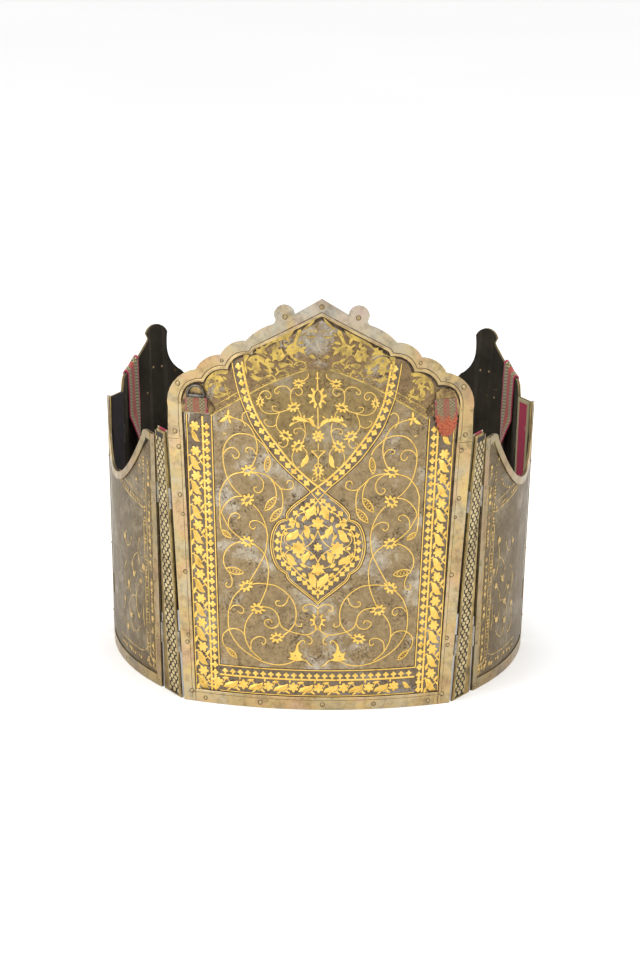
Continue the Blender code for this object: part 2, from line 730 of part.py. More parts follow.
remove_all()
FINISHES = {
    "steel": finish_of("steel", (0.36, 0.34, 0.30), 0.35, 1.0),
    "rim": finish_of("rim", (0.62, 0.55, 0.44), 0.32, 1.0),
    "brass": finish_of("brass", (0.60, 0.47, 0.22), 0.35, 1.0),
    "gilt": finish_of("gilt", (0.80, 0.58, 0.22), 0.30, 1.0),
    "dark": finish_of("dark", (0.10, 0.09, 0.07), 0.45, 1.0),
    "velvet": finish_of("velvet", (0.42, 0.02, 0.08), 0.90, 0.0),
    "webbing": finish_of("webbing", (0.45, 0.16, 0.14), 0.85, 0.0),
}
FRONT = front_form()
make_front()
for side_name, side_sign in (("left", -1), ("right", 1)):
    make_gusset(side_name, side_sign, "front", ("front", "side_front"), FRONT_GUSSET_HEIGHT,
                UPPER_HINGE_HEIGHT, LINING_RISE)
    make_side(side_name, side_sign)
    make_gusset(side_name, side_sign, "rear", ("side_rear", "half"), REAR_GUSSET_HEIGHT,
                REAR_UPPER_HINGE_HEIGHT, 0)
    make_half(side_name, side_sign)
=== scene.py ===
# %% [markdown]
# A hinged steel cuirass. Nine bowed plates close round the torso, and the tall front plate with
# its cusped crest carries fine gold ornament. The solid model already has the plates, bands,
# hinges and straps in their places, so this lesson loads it first and dresses it piece by piece.

# %% Load the solid model
import math
import random
from collections import namedtuple

import bmesh
import bpy
from mathutils import Matrix, Vector
from mathutils.bvhtree import BVHTree


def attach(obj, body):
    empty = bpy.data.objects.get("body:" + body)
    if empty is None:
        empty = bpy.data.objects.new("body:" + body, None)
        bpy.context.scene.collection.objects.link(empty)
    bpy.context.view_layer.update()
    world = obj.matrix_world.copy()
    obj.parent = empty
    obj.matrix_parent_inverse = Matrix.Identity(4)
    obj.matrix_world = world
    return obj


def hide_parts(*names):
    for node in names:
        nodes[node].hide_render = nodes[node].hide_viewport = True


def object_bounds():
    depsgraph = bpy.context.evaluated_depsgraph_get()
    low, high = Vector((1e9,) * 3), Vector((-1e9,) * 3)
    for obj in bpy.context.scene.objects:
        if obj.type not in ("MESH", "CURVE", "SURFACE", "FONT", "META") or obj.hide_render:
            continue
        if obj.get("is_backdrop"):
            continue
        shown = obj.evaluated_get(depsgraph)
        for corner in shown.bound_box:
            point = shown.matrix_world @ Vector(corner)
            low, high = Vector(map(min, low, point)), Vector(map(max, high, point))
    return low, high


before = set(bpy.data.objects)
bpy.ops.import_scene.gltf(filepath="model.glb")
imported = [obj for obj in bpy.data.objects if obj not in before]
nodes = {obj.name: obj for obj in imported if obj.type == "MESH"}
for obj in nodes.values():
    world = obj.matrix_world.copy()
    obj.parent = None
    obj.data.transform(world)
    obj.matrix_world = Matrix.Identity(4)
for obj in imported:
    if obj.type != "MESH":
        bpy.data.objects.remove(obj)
cad_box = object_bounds()

# %% [markdown]
# Every plate is bent over a form: seen from above it is a shallow parabola from one hinge line to
# the next. Ornament is drawn flat first, as an engraver lays it out, and then goes over the same
# form. So the sizes of the ring and the form itself come before anything else. A place on a
# form is read as across, height and out, all in metres.

# %% The ring and its forms
CHEST_HEIGHT = 0.252
HEM_HALF_WIDTH = 0.2033
CHEST_HALF_WIDTH = 0.2093
HALF_DEPTH = 0.160
PLATE, BAND, GAP = 0.0015, 0.0010, 0.0003
MM = 0.001

Line = namedtuple("Line", "hem_x hem_y chest_x chest_y")
HINGE_LINES = {
    "front": Line(0.622, -0.8375, 0.678, -0.800),
    "side_front": Line(0.718, -0.641, 0.729, -0.669),
    "side_rear": Line(1.000, 0.328, 1.000, 0.328),
    "half": Line(0.954, 0.525, 0.946, 0.4875),
    "closing": Line(0.000, 1.000, 0.000, 1.000),
}


class Form:
    """The bent surface of one plate. The left side of the ring mirrors the right."""

    WALK = 32

    def __init__(self, first, second, bow_hem=0.0, bow_chest=None, lean=0.0, side=1, drawn=False):
        self.lines = first, second
        self.bows = bow_hem, bow_hem if bow_chest is None else bow_chest
        self.lean, self.side, self.drawn = lean, side, drawn

    def curve(self, height):
        """Start, control place and end of the parabola at a height."""
        share = height / CHEST_HEIGHT
        ends = []
        for line in self.lines:
            hem = Vector((line.hem_x * HEM_HALF_WIDTH, line.hem_y * HALF_DEPTH))
            chest = Vector((line.chest_x * CHEST_HALF_WIDTH, line.chest_y * HALF_DEPTH))
            ends.append(hem.lerp(chest, share))
        start, end = ends
        chord = end - start
        outward = Vector((chord.y, -chord.x)).normalized()
        bow = self.bows[0] + (self.bows[1] - self.bows[0]) * share
        return start, (start + end) / 2 + outward * 2 * bow + chord * self.lean, end

    def steps(self, curve):
        start, control, end = curve
        shares = [step / self.WALK for step in range(self.WALK + 1)]
        return [start.lerp(control, s).lerp(control.lerp(end, s), s) for s in shares]

    def width(self, height):
        curve = self.curve(height)
        if self.drawn:
            return (curve[2] - curve[0]).length
        steps = self.steps(curve)
        return sum((b - a).length for a, b in zip(steps, steps[1:]))

    def share_at(self, curve, across):
        """The curve's own measure, 0 to 1, for a length walked along it."""
        if self.drawn:
            return across / (curve[2] - curve[0]).length
        steps = self.steps(curve)
        walked = 0.0
        for step, (a, b) in enumerate(zip(steps, steps[1:])):
            length = (b - a).length
            if walked + length >= across or step == self.WALK - 1:
                return (step + (across - walked) / length) / self.WALK
            walked += length

    def at(self, across, height, out=0.0):
        curve = self.curve(height)
        start, control, end = curve
        share = self.share_at(curve, across)
        place = start.lerp(control, share).lerp(control.lerp(end, share), share)
        way = (control - start).lerp(end - control, share).normalized()
        return Vector((self.side * (place.x + way.y * out), place.y - way.x * out, height))

    def outward(self, across, height):
        """The direction out of the plate there."""
        return (self.at(across, height, 1.0) - self.at(across, height)).normalized()


front_line = HINGE_LINES["front"]
front_mirror = Line(-front_line.hem_x, front_line.hem_y, -front_line.chest_x, front_line.chest_y)
FRONT = Form(front_mirror, front_line, 0.026, 0.032, drawn=True)
SIDES, GUSSETS, HALVES = {}, {}, {}
for side, sign in (("left", -1), ("right", 1)):
    lines = HINGE_LINES
    SIDES[side] = Form(lines["side_front"], lines["side_rear"], 0.0115, side=sign)
    GUSSETS["front", side] = Form(lines["front"], lines["side_front"], side=sign)
    GUSSETS["rear", side] = Form(lines["side_rear"], lines["half"], side=sign)
    HALVES[side] = Form(lines["half"], lines["closing"], 0.0347, 0.0367, lean=-0.34, side=sign)
print("front plate", round(FRONT.width(0.1) * 1000), "mm wide at waist height")


# %% [markdown]
# Finishes come next. Old steel isn't one colour: it is mottled where it was cleaned and where
# rust has been, and it is smoother on its high places. Each finish is a small network of noise and
# colour ramps into one Principled shader. The recipe class keeps these networks short to write.
# All of them read Object coordinates, so a finish keeps its scale on every piece.

# %% A recipe for finishes
class Recipe:
    """One Principled material with a few named moves for its network."""

    def __init__(self, name, metallic=0.0, roughness=0.5):
        self.material = bpy.data.materials.new(name)
        self.material.use_nodes = True
        self.tree = self.material.node_tree
        self.shader = self.tree.nodes["Principled BSDF"]
        self.shader.inputs["Metallic"].default_value = metallic
        self.shader.inputs["Roughness"].default_value = roughness
        self.coordinates = self.add("ShaderNodeTexCoord").outputs["Object"]

    def add(self, kind, **settings):
        node = self.tree.nodes.new(kind)
        for name, value in settings.items():
            setattr(node, name, value)
        return node

    def feed(self, socket, value):
        if isinstance(value, bpy.types.NodeSocket):
            self.tree.links.new(value, socket)
        else:
            socket.default_value = value

    def place(self, turn=(0, 0, 0), shift=(0, 0, 0)):
        """The coordinates turned or shifted, so that two noises don't match."""
        mapping = self.add("ShaderNodeMapping")
        self.feed(mapping.inputs["Vector"], self.coordinates)
        mapping.inputs["Rotation"].default_value = turn
        mapping.inputs["Location"].default_value = shift
        return mapping.outputs["Vector"]

    def noise(self, scale, detail=4.0, roughness=0.55, vector=None, distortion=0.0):
        node = self.add("ShaderNodeTexNoise")
        self.feed(node.inputs["Vector"], vector or self.coordinates)
        node.inputs["Scale"].default_value = scale
        node.inputs["Detail"].default_value = detail
        node.inputs["Roughness"].default_value = roughness
        node.inputs["Distortion"].default_value = distortion
        return node.outputs["Fac"]

    def ramp(self, value, *stops):
        """A colour or grey ramp; each stop is a position and a colour or a grey."""
        node = self.add("ShaderNodeValToRGB")
        self.feed(node.inputs["Fac"], value)
        band = node.color_ramp
        while len(band.elements) < len(stops):
            band.elements.new(0.5)
        for element, (position, colour) in zip(band.elements, stops):
            grey = (colour, colour, colour)
            element.position = position
            element.color = (*(grey if isinstance(colour, (int, float)) else colour), 1.0)
        return node.outputs["Color"]

    def mix(self, share, first, second, blend="MIX"):
        """Mix two colours. A Mix node keeps them in inputs 6 and 7 and output 2."""
        node = self.add("ShaderNodeMix", data_type="RGBA", blend_type=blend)
        self.feed(node.inputs["Factor"], share)
        for socket, value in ((node.inputs[6], first), (node.inputs[7], second)):
            self.feed(socket, (*value, 1.0) if isinstance(value, tuple) else value)
        return node.outputs[2]

    def sums(self, operation, first, second):
        node = self.add("ShaderNodeMath", operation=operation)
        self.feed(node.inputs[0], first)
        self.feed(node.inputs[1], second)
        return node.outputs[0]

    def colour(self, value):
        self.feed(self.shader.inputs["Base Color"], value)

    def roughness(self, value, low, high):
        """Roughness that changes over the middle of a noise."""
        self.feed(self.shader.inputs["Roughness"], self.ramp(value, (0.3, low), (0.7, high)))

    def bump(self, height, depth):
        node = self.add("ShaderNodeBump")
        node.inputs["Strength"].default_value = 1.0
        node.inputs["Distance"].default_value = depth
        self.feed(node.inputs["Height"], height)
        self.feed(self.shader.inputs["Normal"], node.outputs["Normal"])


print("a recipe is one Principled material with its noises, ramps and bump")


# %% [markdown]
# The large plates and their bands are steel. It was browned and gilded once, and both coats have
# worn off in clouds, so the base colour runs between a warm skin and pale cleaned steel, with
# grain and pits over it. The rims keep the tints that heat leaves and grow paler towards the
# crest. Real wear has no repeat, which is why noise does all of this and no drawn pattern.

# %% Steel, rims and gold
def old_steel(name, pale, middle, dark, shift):
    """Mottled plate steel: pale cleaned clouds over a warm skin, with grain and pitting."""
    recipe = Recipe(name, 0.85)
    clouds = recipe.noise(21, 12, 0.74, recipe.place(shift=shift), 0.25)
    half_pale = tuple((a + b) / 2 for a, b in zip(pale, middle))
    base = recipe.ramp(clouds, (0.40, middle), (0.51, middle), (0.56, half_pale), (0.64, pale))
    grain = recipe.ramp(recipe.noise(170, 6, 0.78), (0.34, 0.55), (0.60, 1.0))
    specks = recipe.ramp(recipe.noise(430, 3, 0.6), (0.40, 1.0), (0.52, 0.0))
    patches = recipe.ramp(recipe.noise(46, 7, 0.75, recipe.place(shift=(3, 1, 2))),
                          (0.48, 0.10), (0.62, 1.0))
    pitted = recipe.mix(recipe.sums("MULTIPLY", specks, patches), base, dark)
    smudge = recipe.ramp(recipe.noise(24, 6, 0.7, recipe.place(shift=(6, 2, 5))),
                         (0.56, 0.0), (0.74, 0.45))
    recipe.colour(recipe.mix(0.85, recipe.mix(smudge, pitted, dark), grain, "MULTIPLY"))
    recipe.roughness(clouds, 0.58, 0.40)
    recipe.bump(recipe.sums("ADD", recipe.noise(90, 4), specks), 0.00008)
    return recipe.material


def rim_steel(name, shift, deep=1.0):
    """Polished band with worn gilding and the tints of old heat, paler towards the crest."""
    recipe = Recipe(name, 1.0)
    height = recipe.add("ShaderNodeSeparateXYZ")
    recipe.feed(height.inputs["Vector"], recipe.coordinates)
    long_noise = recipe.noise(16, 6, 0.66, recipe.place(shift=shift), 0.7)
    tint_noise = recipe.noise(30, 6, 0.66, recipe.place(shift=(5, 2, 7)))
    grime = recipe.noise(95, 6, 0.75)
    tones = (0.30, 0.20, 0.085), (0.50, 0.355, 0.12), (0.50, 0.38, 0.20), (0.62, 0.435, 0.13)
    gilt = [tuple(part * deep for part in tone) for tone in tones]
    metal = recipe.ramp(long_noise, *zip((0.36, 0.46, 0.54, 0.64), gilt))
    silver = recipe.ramp(long_noise, (0.36, (0.28, 0.23, 0.16)), (0.47, (0.50, 0.46, 0.39)),
                         (0.56, (0.40, 0.34, 0.25)), (0.66, (0.47, 0.33, 0.14)))
    climb = recipe.ramp(height.outputs["Z"], (0.330, 0.0), (0.380, 0.92))
    metal = recipe.mix(climb, metal, silver)
    tint = recipe.ramp(tint_noise, (0.40, (0.40, 0.42, 0.38)), (0.50, (0.54, 0.42, 0.28)),
                       (0.60, (0.57, 0.33, 0.29)))
    worn = recipe.mix(0.3 * deep, metal, tint)
    dirty = recipe.ramp(grime, (0.36, 0.42), (0.52, 1.0))
    recipe.colour(recipe.mix(0.6, worn, dirty, "MULTIPLY"))
    recipe.roughness(recipe.noise(120, 5), 0.26, 0.44)
    recipe.bump(recipe.noise(240, 5, 0.65), 0.00008)
    return recipe.material


def gold_leaf():
    """Bright gold laid on the steel, a little worn and warm in its hollows."""
    recipe = Recipe("gold_inlay", 1.0)
    wear = recipe.noise(120, 5, 0.65)
    recipe.colour(recipe.ramp(wear, (0.30, (0.56, 0.34, 0.08)), (0.42, (0.80, 0.52, 0.12)),
                              (0.70, (0.90, 0.61, 0.17))))
    recipe.roughness(wear, 0.45, 0.33)
    recipe.bump(recipe.noise(600, 3), 0.00005)
    return recipe.material


FIELD = old_steel("field_steel", (0.53, 0.47, 0.37), (0.345, 0.252, 0.132), (0.11, 0.072, 0.04),
                  (0, 0, 0))
PANEL = old_steel("panel_steel", (0.37, 0.30, 0.19), (0.31, 0.22, 0.092), (0.11, 0.072, 0.035),
                  (1, 5, 2))
GROUND = old_steel("border_ground", (0.36, 0.33, 0.29), (0.21, 0.16, 0.11), (0.07, 0.048, 0.03),
                   (2, 3, 1))
CREST_GROUND = old_steel("crest_ground", (0.47, 0.43, 0.35), (0.27, 0.18, 0.09),
                         (0.10, 0.06, 0.035), (4, 2, 6))
SIDE_STEEL = old_steel("side_steel", (0.305, 0.24, 0.145), (0.180, 0.130, 0.064),
                       (0.09, 0.065, 0.04), (7, 1, 4))
RIM = rim_steel("rim_steel", (5, 1, 0))
SIDE_RIM = rim_steel("side_rim_steel", (9, 4, 3), 0.62)
GOLD = gold_leaf()
print("steel, rims and gold are mixed")


# %% [markdown]
# The narrow plates are brass, the inside of every plate was blackened against rust, and the
# linings are velvet. Velvet shows mostly as a soft glow at its edges, so its shader gets a sheen
# layer, and a fine bump stands for the pile.

# %% Brass, inner skin and velvet
def gusset_brass(name, pale, dark):
    """Brass, or the steel of the hinges, in two tones."""
    recipe = Recipe(name, 1.0)
    wear = recipe.noise(70, 5, 0.6)
    recipe.colour(recipe.ramp(wear, (0.32, dark), (0.62, pale)))
    recipe.roughness(wear, 0.5, 0.34)
    recipe.bump(recipe.noise(500, 4), 0.00006)
    return recipe.material


def inner_skin():
    """The blackened inside of the plates, with scratches and small rust spots."""
    recipe = Recipe("inner_skin", 0.15)
    clouds = recipe.noise(24, 6, 0.65)
    rust = recipe.noise(130, 3, 0.6, recipe.place(shift=(1, 4, 2)))
    black = recipe.ramp(clouds, (0.35, (0.012, 0.0095, 0.006)), (0.70, (0.034, 0.027, 0.016)))
    spots = recipe.ramp(rust, (0.66, 0.0), (0.74, 0.7))
    recipe.colour(recipe.mix(spots, black, (0.14, 0.075, 0.02)))
    recipe.roughness(clouds, 0.85, 0.66)
    recipe.shader.inputs["Specular IOR Level"].default_value = 0.22
    recipe.bump(recipe.noise(160, 5), 0.00015)
    return recipe.material


def velvet_pile():
    """Crimson pile, rubbed down to its backing in a few places."""
    recipe = Recipe("crimson_velvet", 0.0, 0.9)
    pile = recipe.noise(900, 3, 0.7)
    rubbed = recipe.noise(45, 5, 0.6)
    red = recipe.ramp(pile, (0.3, (0.16, 0.004, 0.022)), (0.7, (0.36, 0.012, 0.050)))
    bare = recipe.ramp(rubbed, (0.62, 0.0), (0.72, 0.5))
    recipe.colour(recipe.mix(bare, red, (0.45, 0.28, 0.14)))
    recipe.shader.inputs["Sheen Weight"].default_value = 0.3
    recipe.shader.inputs["Sheen Roughness"].default_value = 0.4
    recipe.shader.inputs["Sheen Tint"].default_value = (1.0, 0.35, 0.45, 1.0)
    recipe.bump(pile, 0.0004)
    return recipe.material


SCALE_BRASS = gusset_brass("scale_brass", (0.60, 0.48, 0.25), (0.30, 0.22, 0.10))
BRASS_GROUND = gusset_brass("brass_ground", (0.42, 0.29, 0.09), (0.16, 0.11, 0.04))
SCALE_GROUND = gusset_brass("scale_ground", (0.030, 0.020, 0.010), (0.012, 0.008, 0.004))
HINGE_STEEL = gusset_brass("hinge_steel", (0.34, 0.315, 0.27), (0.16, 0.145, 0.12))
INNER = inner_skin()
VELVET = velvet_pile()
print("brass, inner skin and velvet are mixed")


# %% [markdown]
# Small metal work needs many plain finishes that differ only in their tones: a bead, a scored
# line, dirt in a groove, worn gold. One helper mixes them all. The woven cloths read a map in
# millimetres and not Object coordinates, because threads follow the cloth however it is folded.

# %% Small metals and weaves
def duller(name, pale, dark, rough=(0.5, 0.36), scale=90, metallic=1.0):
    """A plain worn metal of two tones."""
    recipe = Recipe(name, metallic)
    wear = recipe.noise(scale, 5, 0.62)
    recipe.colour(recipe.ramp(wear, (0.36, dark), (0.60, pale)))
    recipe.roughness(wear, rough[0], rough[1])
    recipe.bump(recipe.noise(400, 4), 0.00006)
    return recipe.material


def woven_braid():
    """Narrow braid: cream threads with green dots, in the cloth's own millimetres."""
    recipe = Recipe("woven_braid", 0.0, 0.9)
    recipe.coordinates = recipe.add("ShaderNodeUVMap", uv_map="cloth").outputs["UV"]
    checks = recipe.add("ShaderNodeTexChecker")
    recipe.feed(checks.inputs["Vector"], recipe.place(turn=(0, 0, math.radians(45))))
    checks.inputs["Scale"].default_value = 0.85
    cloth = recipe.mix(checks.outputs["Fac"], (0.50, 0.40, 0.22), (0.17, 0.16, 0.075))
    recipe.colour(recipe.mix(recipe.ramp(recipe.noise(0.6, 3), (0.4, 0.0), (0.7, 0.5)), cloth,
                             (0.30, 0.26, 0.18)))
    recipe.bump(checks.outputs["Fac"], 0.0002)
    return recipe.material


def woven_strap(name, worn):
    """The strap's stripes run across its map: u is millimetres from its middle line."""
    recipe = Recipe(name, 0.0, 0.85)
    recipe.coordinates = recipe.add("ShaderNodeUVMap", uv_map="cloth").outputs["UV"]
    parts = recipe.add("ShaderNodeSeparateXYZ")
    recipe.feed(parts.inputs["Vector"], recipe.coordinates)
    across, along = parts.outputs["X"], parts.outputs["Y"]
    aside = recipe.sums("ABSOLUTE", across, 0.0)
    slant = recipe.sums("ADD", recipe.sums("MULTIPLY", aside, 1.1), along)
    bone = recipe.sums("PINGPONG", slant, 1.1)
    middle = recipe.mix(recipe.ramp(bone, (0.45, 0.0), (0.75, 0.75)), (0.30, 0.014, 0.018),
                        (0.40, 0.11, 0.065))
    dots = recipe.add("ShaderNodeTexChecker")
    recipe.feed(dots.inputs["Vector"], recipe.coordinates)
    dots.inputs["Scale"].default_value = 0.62
    stripe = recipe.mix(dots.outputs["Fac"], (0.40, 0.32, 0.15), (0.04, 0.042, 0.018))
    body = recipe.mix(recipe.sums("GREATER_THAN", aside, 3.0), middle, stripe)
    body = recipe.mix(recipe.sums("GREATER_THAN", aside, 8.3), body, (0.36, 0.018, 0.060))
    if worn:
        dirt = recipe.ramp(recipe.noise(0.25, 4, 0.7), (0.36, 0.0), (0.56, 0.8))
        body = recipe.mix(dirt, body, (0.22, 0.15, 0.07))
        frayed = recipe.mix(recipe.ramp(recipe.noise(0.5, 4, 0.7), (0.42, 0.0), (0.60, 1.0)),
                            (0.33, 0.028, 0.018), (0.54, 0.15, 0.03))
        low = recipe.sums("ADD", along, recipe.sums("MULTIPLY", recipe.noise(0.16, 4, 0.6), 34.0))
        body = recipe.mix(recipe.ramp(recipe.sums("DIVIDE", low, 60.0), (0.54, 0.0), (0.62, 1.0)),
                          body, frayed)
    recipe.colour(recipe.mix(0.45, body, recipe.ramp(recipe.noise(2.2, 4), (0.3, 0.5), (0.7, 1.0)),
                             "MULTIPLY"))
    recipe.shader.inputs["Sheen Weight"].default_value = 0.25
    recipe.bump(recipe.sums("ADD", bone, recipe.noise(3, 3)), 0.0003)
    return recipe.material


# Painted shade with some dirt: dark lines in the step inside the rim and under the lines of the
# borders and the pendant.
SHADE_AND_DIRT_LINE = duller("shade_and_dirt_line", (0.10, 0.065, 0.035), (0.035, 0.022, 0.012), (0.85, 0.6), 120,
                   0.5)
RIM_BEAD = duller("rim_bead", (0.60, 0.44, 0.21), (0.30, 0.21, 0.10), (0.42, 0.28), 80)
RIM_SHADE = duller("rim_shade", (0.20, 0.14, 0.075), (0.10, 0.065, 0.035), (0.5, 0.4), 150)
# Near-black velvet is painted shade, for a lining that lies in shadow.
VELVET_PAINTED_SHADE = duller("velvet_painted_shade", (0.020, 0.012, 0.014), (0.009, 0.007, 0.008),
                     (0.95, 0.9), 60, 0.0)
CREST_GOLD = duller("crest_gold", (0.61, 0.43, 0.11), (0.30, 0.215, 0.08), (0.5, 0.36), 110)
WORN_GOLD = duller("worn_gold", (0.68, 0.47, 0.16), (0.27, 0.20, 0.11), (0.6, 0.42), 140)
# Painted shade and dirt on the sides of every piece of gold.
GOLD_FOOT_SHADE_AND_DIRT = duller("gold_foot_shade_and_dirt", (0.17, 0.105, 0.045), (0.07, 0.042, 0.022), (0.8, 0.6), 150, 0.6)
RIVET_BRASS = duller("rivet_brass", (0.50, 0.39, 0.20), (0.24, 0.17, 0.08), (0.5, 0.38), 300)
DARK_RING = duller("dark_edge", (0.16, 0.115, 0.065), (0.07, 0.05, 0.03), (0.8, 0.6), 200, 0.6)
# Dark iron for the frame and roller; along the arch its darkness is partly painted shade from the
# rim's inner edge.
ROD_IRON_AND_SHADE = duller("rod_iron_and_painted_shade", (0.17, 0.16, 0.14), (0.05, 0.045, 0.04), (0.5, 0.3), 200)
GILT_SHEET = duller("gilt_sheet", (0.42, 0.29, 0.12), (0.12, 0.08, 0.045), (0.55, 0.35), 120)
LINE_SHADE_AND_DIRT, LINE_SHADE, BEAD_GOLD = [SHADE_AND_DIRT_LINE] * 3, [RIM_SHADE] * 3, [RIM_BEAD] * 3
print("worn gold, rivets, rod and weaves are mixed")


# %% [markdown]
# The plates are already right in the solid model, but there every triangle stands alone and
# shades as a facet. A copy is welded, its flat neighbours are joined again, and faces that look
# into the ring get the dark inner skin. The bands get a narrow bevel, because a filed edge catches
# a bright line of light.

# %% Copy the plates and bands
KNUCKLE_HEIGHTS = 0.056, 0.195, 0.204
KNUCKLE_HALF_LENGTH, KNUCKLE_REACH = 0.0112, 0.0034


def as_mesh(shape, name):
    """Close a bmesh and hand on its mesh."""
    mesh = bpy.data.meshes.new(name)
    shape.to_mesh(mesh)
    shape.free()
    return mesh


def finish_piece(shape, name, body, finishes, sharp=35):
    """Make a bmesh one shown piece that moves with a body."""
    mesh = as_mesh(shape, name)
    mesh.shade_smooth()
    mesh.set_sharp_from_angle(angle=math.radians(sharp))
    for finish in finishes:
        mesh.materials.append(finish)
    piece = bpy.data.objects.new(name, mesh)
    bpy.context.scene.collection.objects.link(piece)
    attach(piece, body)
    return piece


def welded_copy(node):
    """A solid's shape, with its triangles joined to flat faces again."""
    shape = bmesh.new()
    shape.from_mesh(nodes[node].data)
    bmesh.ops.remove_doubles(shape, verts=shape.verts[:], dist=1e-6)
    bmesh.ops.join_triangles(shape, faces=shape.faces[:], angle_face_threshold=math.radians(0.5),
                             angle_shape_threshold=math.radians(180))
    return shape


def dark_inside(shape):
    """Slot 1 for faces that look towards the middle of the ring."""
    for face in shape.faces:
        middle = face.calc_center_median()
        inward = -Vector((middle.x, middle.y, 0)).normalized()
        face.material_index = 1 if face.normal.dot(inward) > 0.35 else 0


def dress(node, body, finishes, bevel=0.0):
    """Show a solid's welded copy in its place, with its sharp edges filed if asked."""
    shape = welded_copy(node)
    dark_inside(shape)
    piece = finish_piece(shape, "dressed_" + node, body, finishes)
    if bevel:
        filed = piece.modifiers.new("filed_edge", "BEVEL")
        filed.width = bevel
        filed.segments = 2
        filed.limit_method = "ANGLE"
        filed.angle_limit = math.radians(40)
    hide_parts(node)
    return piece


def dress_plate(node, body, finishes, lines):
    """Dress a plate that has hinges, with its barrels in hinge steel as slot 2."""
    piece = dress(node, body, finishes + [HINGE_STEEL])
    for face in piece.data.polygons:
        place = face.center
        for line, sign in lines:
            share = place.z / CHEST_HEIGHT
            x = sign * HEM_HALF_WIDTH * line.hem_x * (1 - share)
            x += sign * CHEST_HALF_WIDTH * line.chest_x * share
            y = HALF_DEPTH * (line.hem_y * (1 - share) + line.chest_y * share)
            near = math.hypot(place.x - x, place.y - y) < KNUCKLE_REACH
            level = min(abs(place.z - height) for height in KNUCKLE_HEIGHTS)
            if near and level < KNUCKLE_HALF_LENGTH:
                face.material_index = 2
    return piece


front_lines = [(HINGE_LINES["front"], -1), (HINGE_LINES["front"], 1)]
dress_plate("front_plate", "front", [FIELD, INNER], front_lines)
for part in ("top", "left", "right", "bottom"):
    dress("front_rim_" + part, "front", [RIM, INNER], 0.00055)
for side, sign in (("left", -1), ("right", 1)):
    own = {name: (line, sign) for name, line in HINGE_LINES.items()}
    dress_plate("side_plate_" + side, "side_" + side, [SIDE_STEEL, INNER],
                [own["side_front"], own["side_rear"]])
    for part in ("armhole_rim", "band_front", "band_rear", "band_bottom"):
        dress(f"side_{part}_{side}", "side_" + side, [SIDE_RIM, INNER], 0.00035)
    for where, ends in (("front", ("front", "side_front")), ("rear", ("side_rear", "half"))):
        dress_plate(f"{where}_gusset_{side}", f"gusset_{where}_{side}", [BRASS_GROUND, INNER],
                    [own[end] for end in ends])
    dress_plate("rear_half_" + side, "half_" + side, [SIDE_STEEL, INNER], [own["half"]])
    dress("rear_half_rim_top_" + side, "half_" + side, [SIDE_RIM, INNER], 0.00035)
    dress("rear_half_rim_" + side, "half_" + side, [SIDE_RIM, INNER], 0.00035)
    dress("shoulder_plate_" + side, "front", [GILT_SHEET, INNER], 0.0003)
print("plates and bands dressed")


# %% [markdown]
# The gold on such plates is thin leaf hammered onto steel that was roughened with fine scratches,
# so it stands a hair above the surface. Here it is laid out flat in millimetres, x from the middle
# of the plate and y for height, with three kinds of work. Punches are small shapes struck again
# and again, leaves are cut one by one, and vines are bent wire. When a layout is done, it goes
# over the plate's form, so every line follows the bow of the steel. Long straight lines and flat
# sheets are first cut into short steps, or they would run through the bow like a ruler.

# %% Lines and punches
PLATE_FACE = PLATE / 2
PROUD, SUNK = 0.22, 0.12  # Millimetres that gold stands above the steel, and its rim below.
LONGEST_STEP, SHEET_STEP = 8.0, 4.0  # Millimetres between places on lines and on sheets.
# The dark foot of the gold is painted shade along its sides, with some dirt.
FOOT = 2  # The slot of the dark foot.
RAY_START, RAY_LENGTH = 0.003, 0.006


def route(text):
    """A line of places in millimetres, written as x,y pairs. A pair after ! is a sharp corner."""
    line = []
    for pair in text.split():
        x, y = (float(number) for number in pair.lstrip("!").split(","))
        line.append((x, y, True) if pair.startswith("!") else (x, y))
    return line


def stepped(line):
    """Between two sharp corners, places close enough to follow the plate's bow."""
    places = line[:1]
    for start, end in zip(line, line[1:]):
        if len(start) == len(end) == 3:
            parts = math.ceil(math.dist(start[:2], end[:2]) / LONGEST_STEP)
            for part in range(1, parts):
                x, y = (a + (b - a) * part / parts for a, b in zip(start[:2], end[:2]))
                places.append((x, y, True))
        places.append(end)
    return places


def mirror_line(line):
    return [(-place[0], *place[1:]) for place in line]


def reach(angle, discs):
    """How far a ray from the middle gets inside a group of discs."""
    across, up = math.cos(angle), math.sin(angle)
    far = 0.05
    for x, y, radius in discs:
        aside = abs(x * up - y * across)
        if aside < radius:
            far = max(far, x * across + y * up + math.sqrt(radius ** 2 - aside ** 2))
    return far


def pillow(shape, edge, height):
    """Sink the rim of a flat shape into the steel and raise the rest, with a soft edge."""
    bmesh.ops.translate(shape, verts=shape.verts[:], vec=(0, 0, -SUNK))
    ring = bmesh.ops.inset_individual(shape, faces=shape.faces[:], thickness=edge,
                                      depth=height + SUNK)
    for face in ring["faces"]:
        # The sunk sides take the dark foot: painted shade with some dirt.
        face.material_index = FOOT


def make_punch(name, discs, sides, edge=0.34):
    """A punch face: a circle whose rim follows a group of discs."""
    shape = bmesh.new()
    bmesh.ops.create_circle(shape, cap_ends=True, segments=sides, radius=1)
    for vert in shape.verts:
        angle = math.atan2(vert.co.y, vert.co.x)
        vert.co = vert.co.normalized() * reach(angle, discs)
    pillow(shape, edge, PROUD)
    return as_mesh(shape, name)


def add_mesh(shape, mesh, slot=0):
    """Move a mesh into a shape, and its faces of slot 0 to the wanted slot."""
    for face in mesh.polygons:
        if face.material_index == 0:
            face.material_index = slot
    shape.from_mesh(mesh)
    bpy.data.meshes.remove(mesh)


def petals(count, core, petal, ring, start=90.0):
    """Discs for a flower head: a core and a ring of petals."""
    discs = [(0, 0, core)]
    for step in range(count):
        angle = math.radians(start + 360 * step / count)
        discs.append((ring * math.cos(angle), ring * math.sin(angle), petal))
    return discs


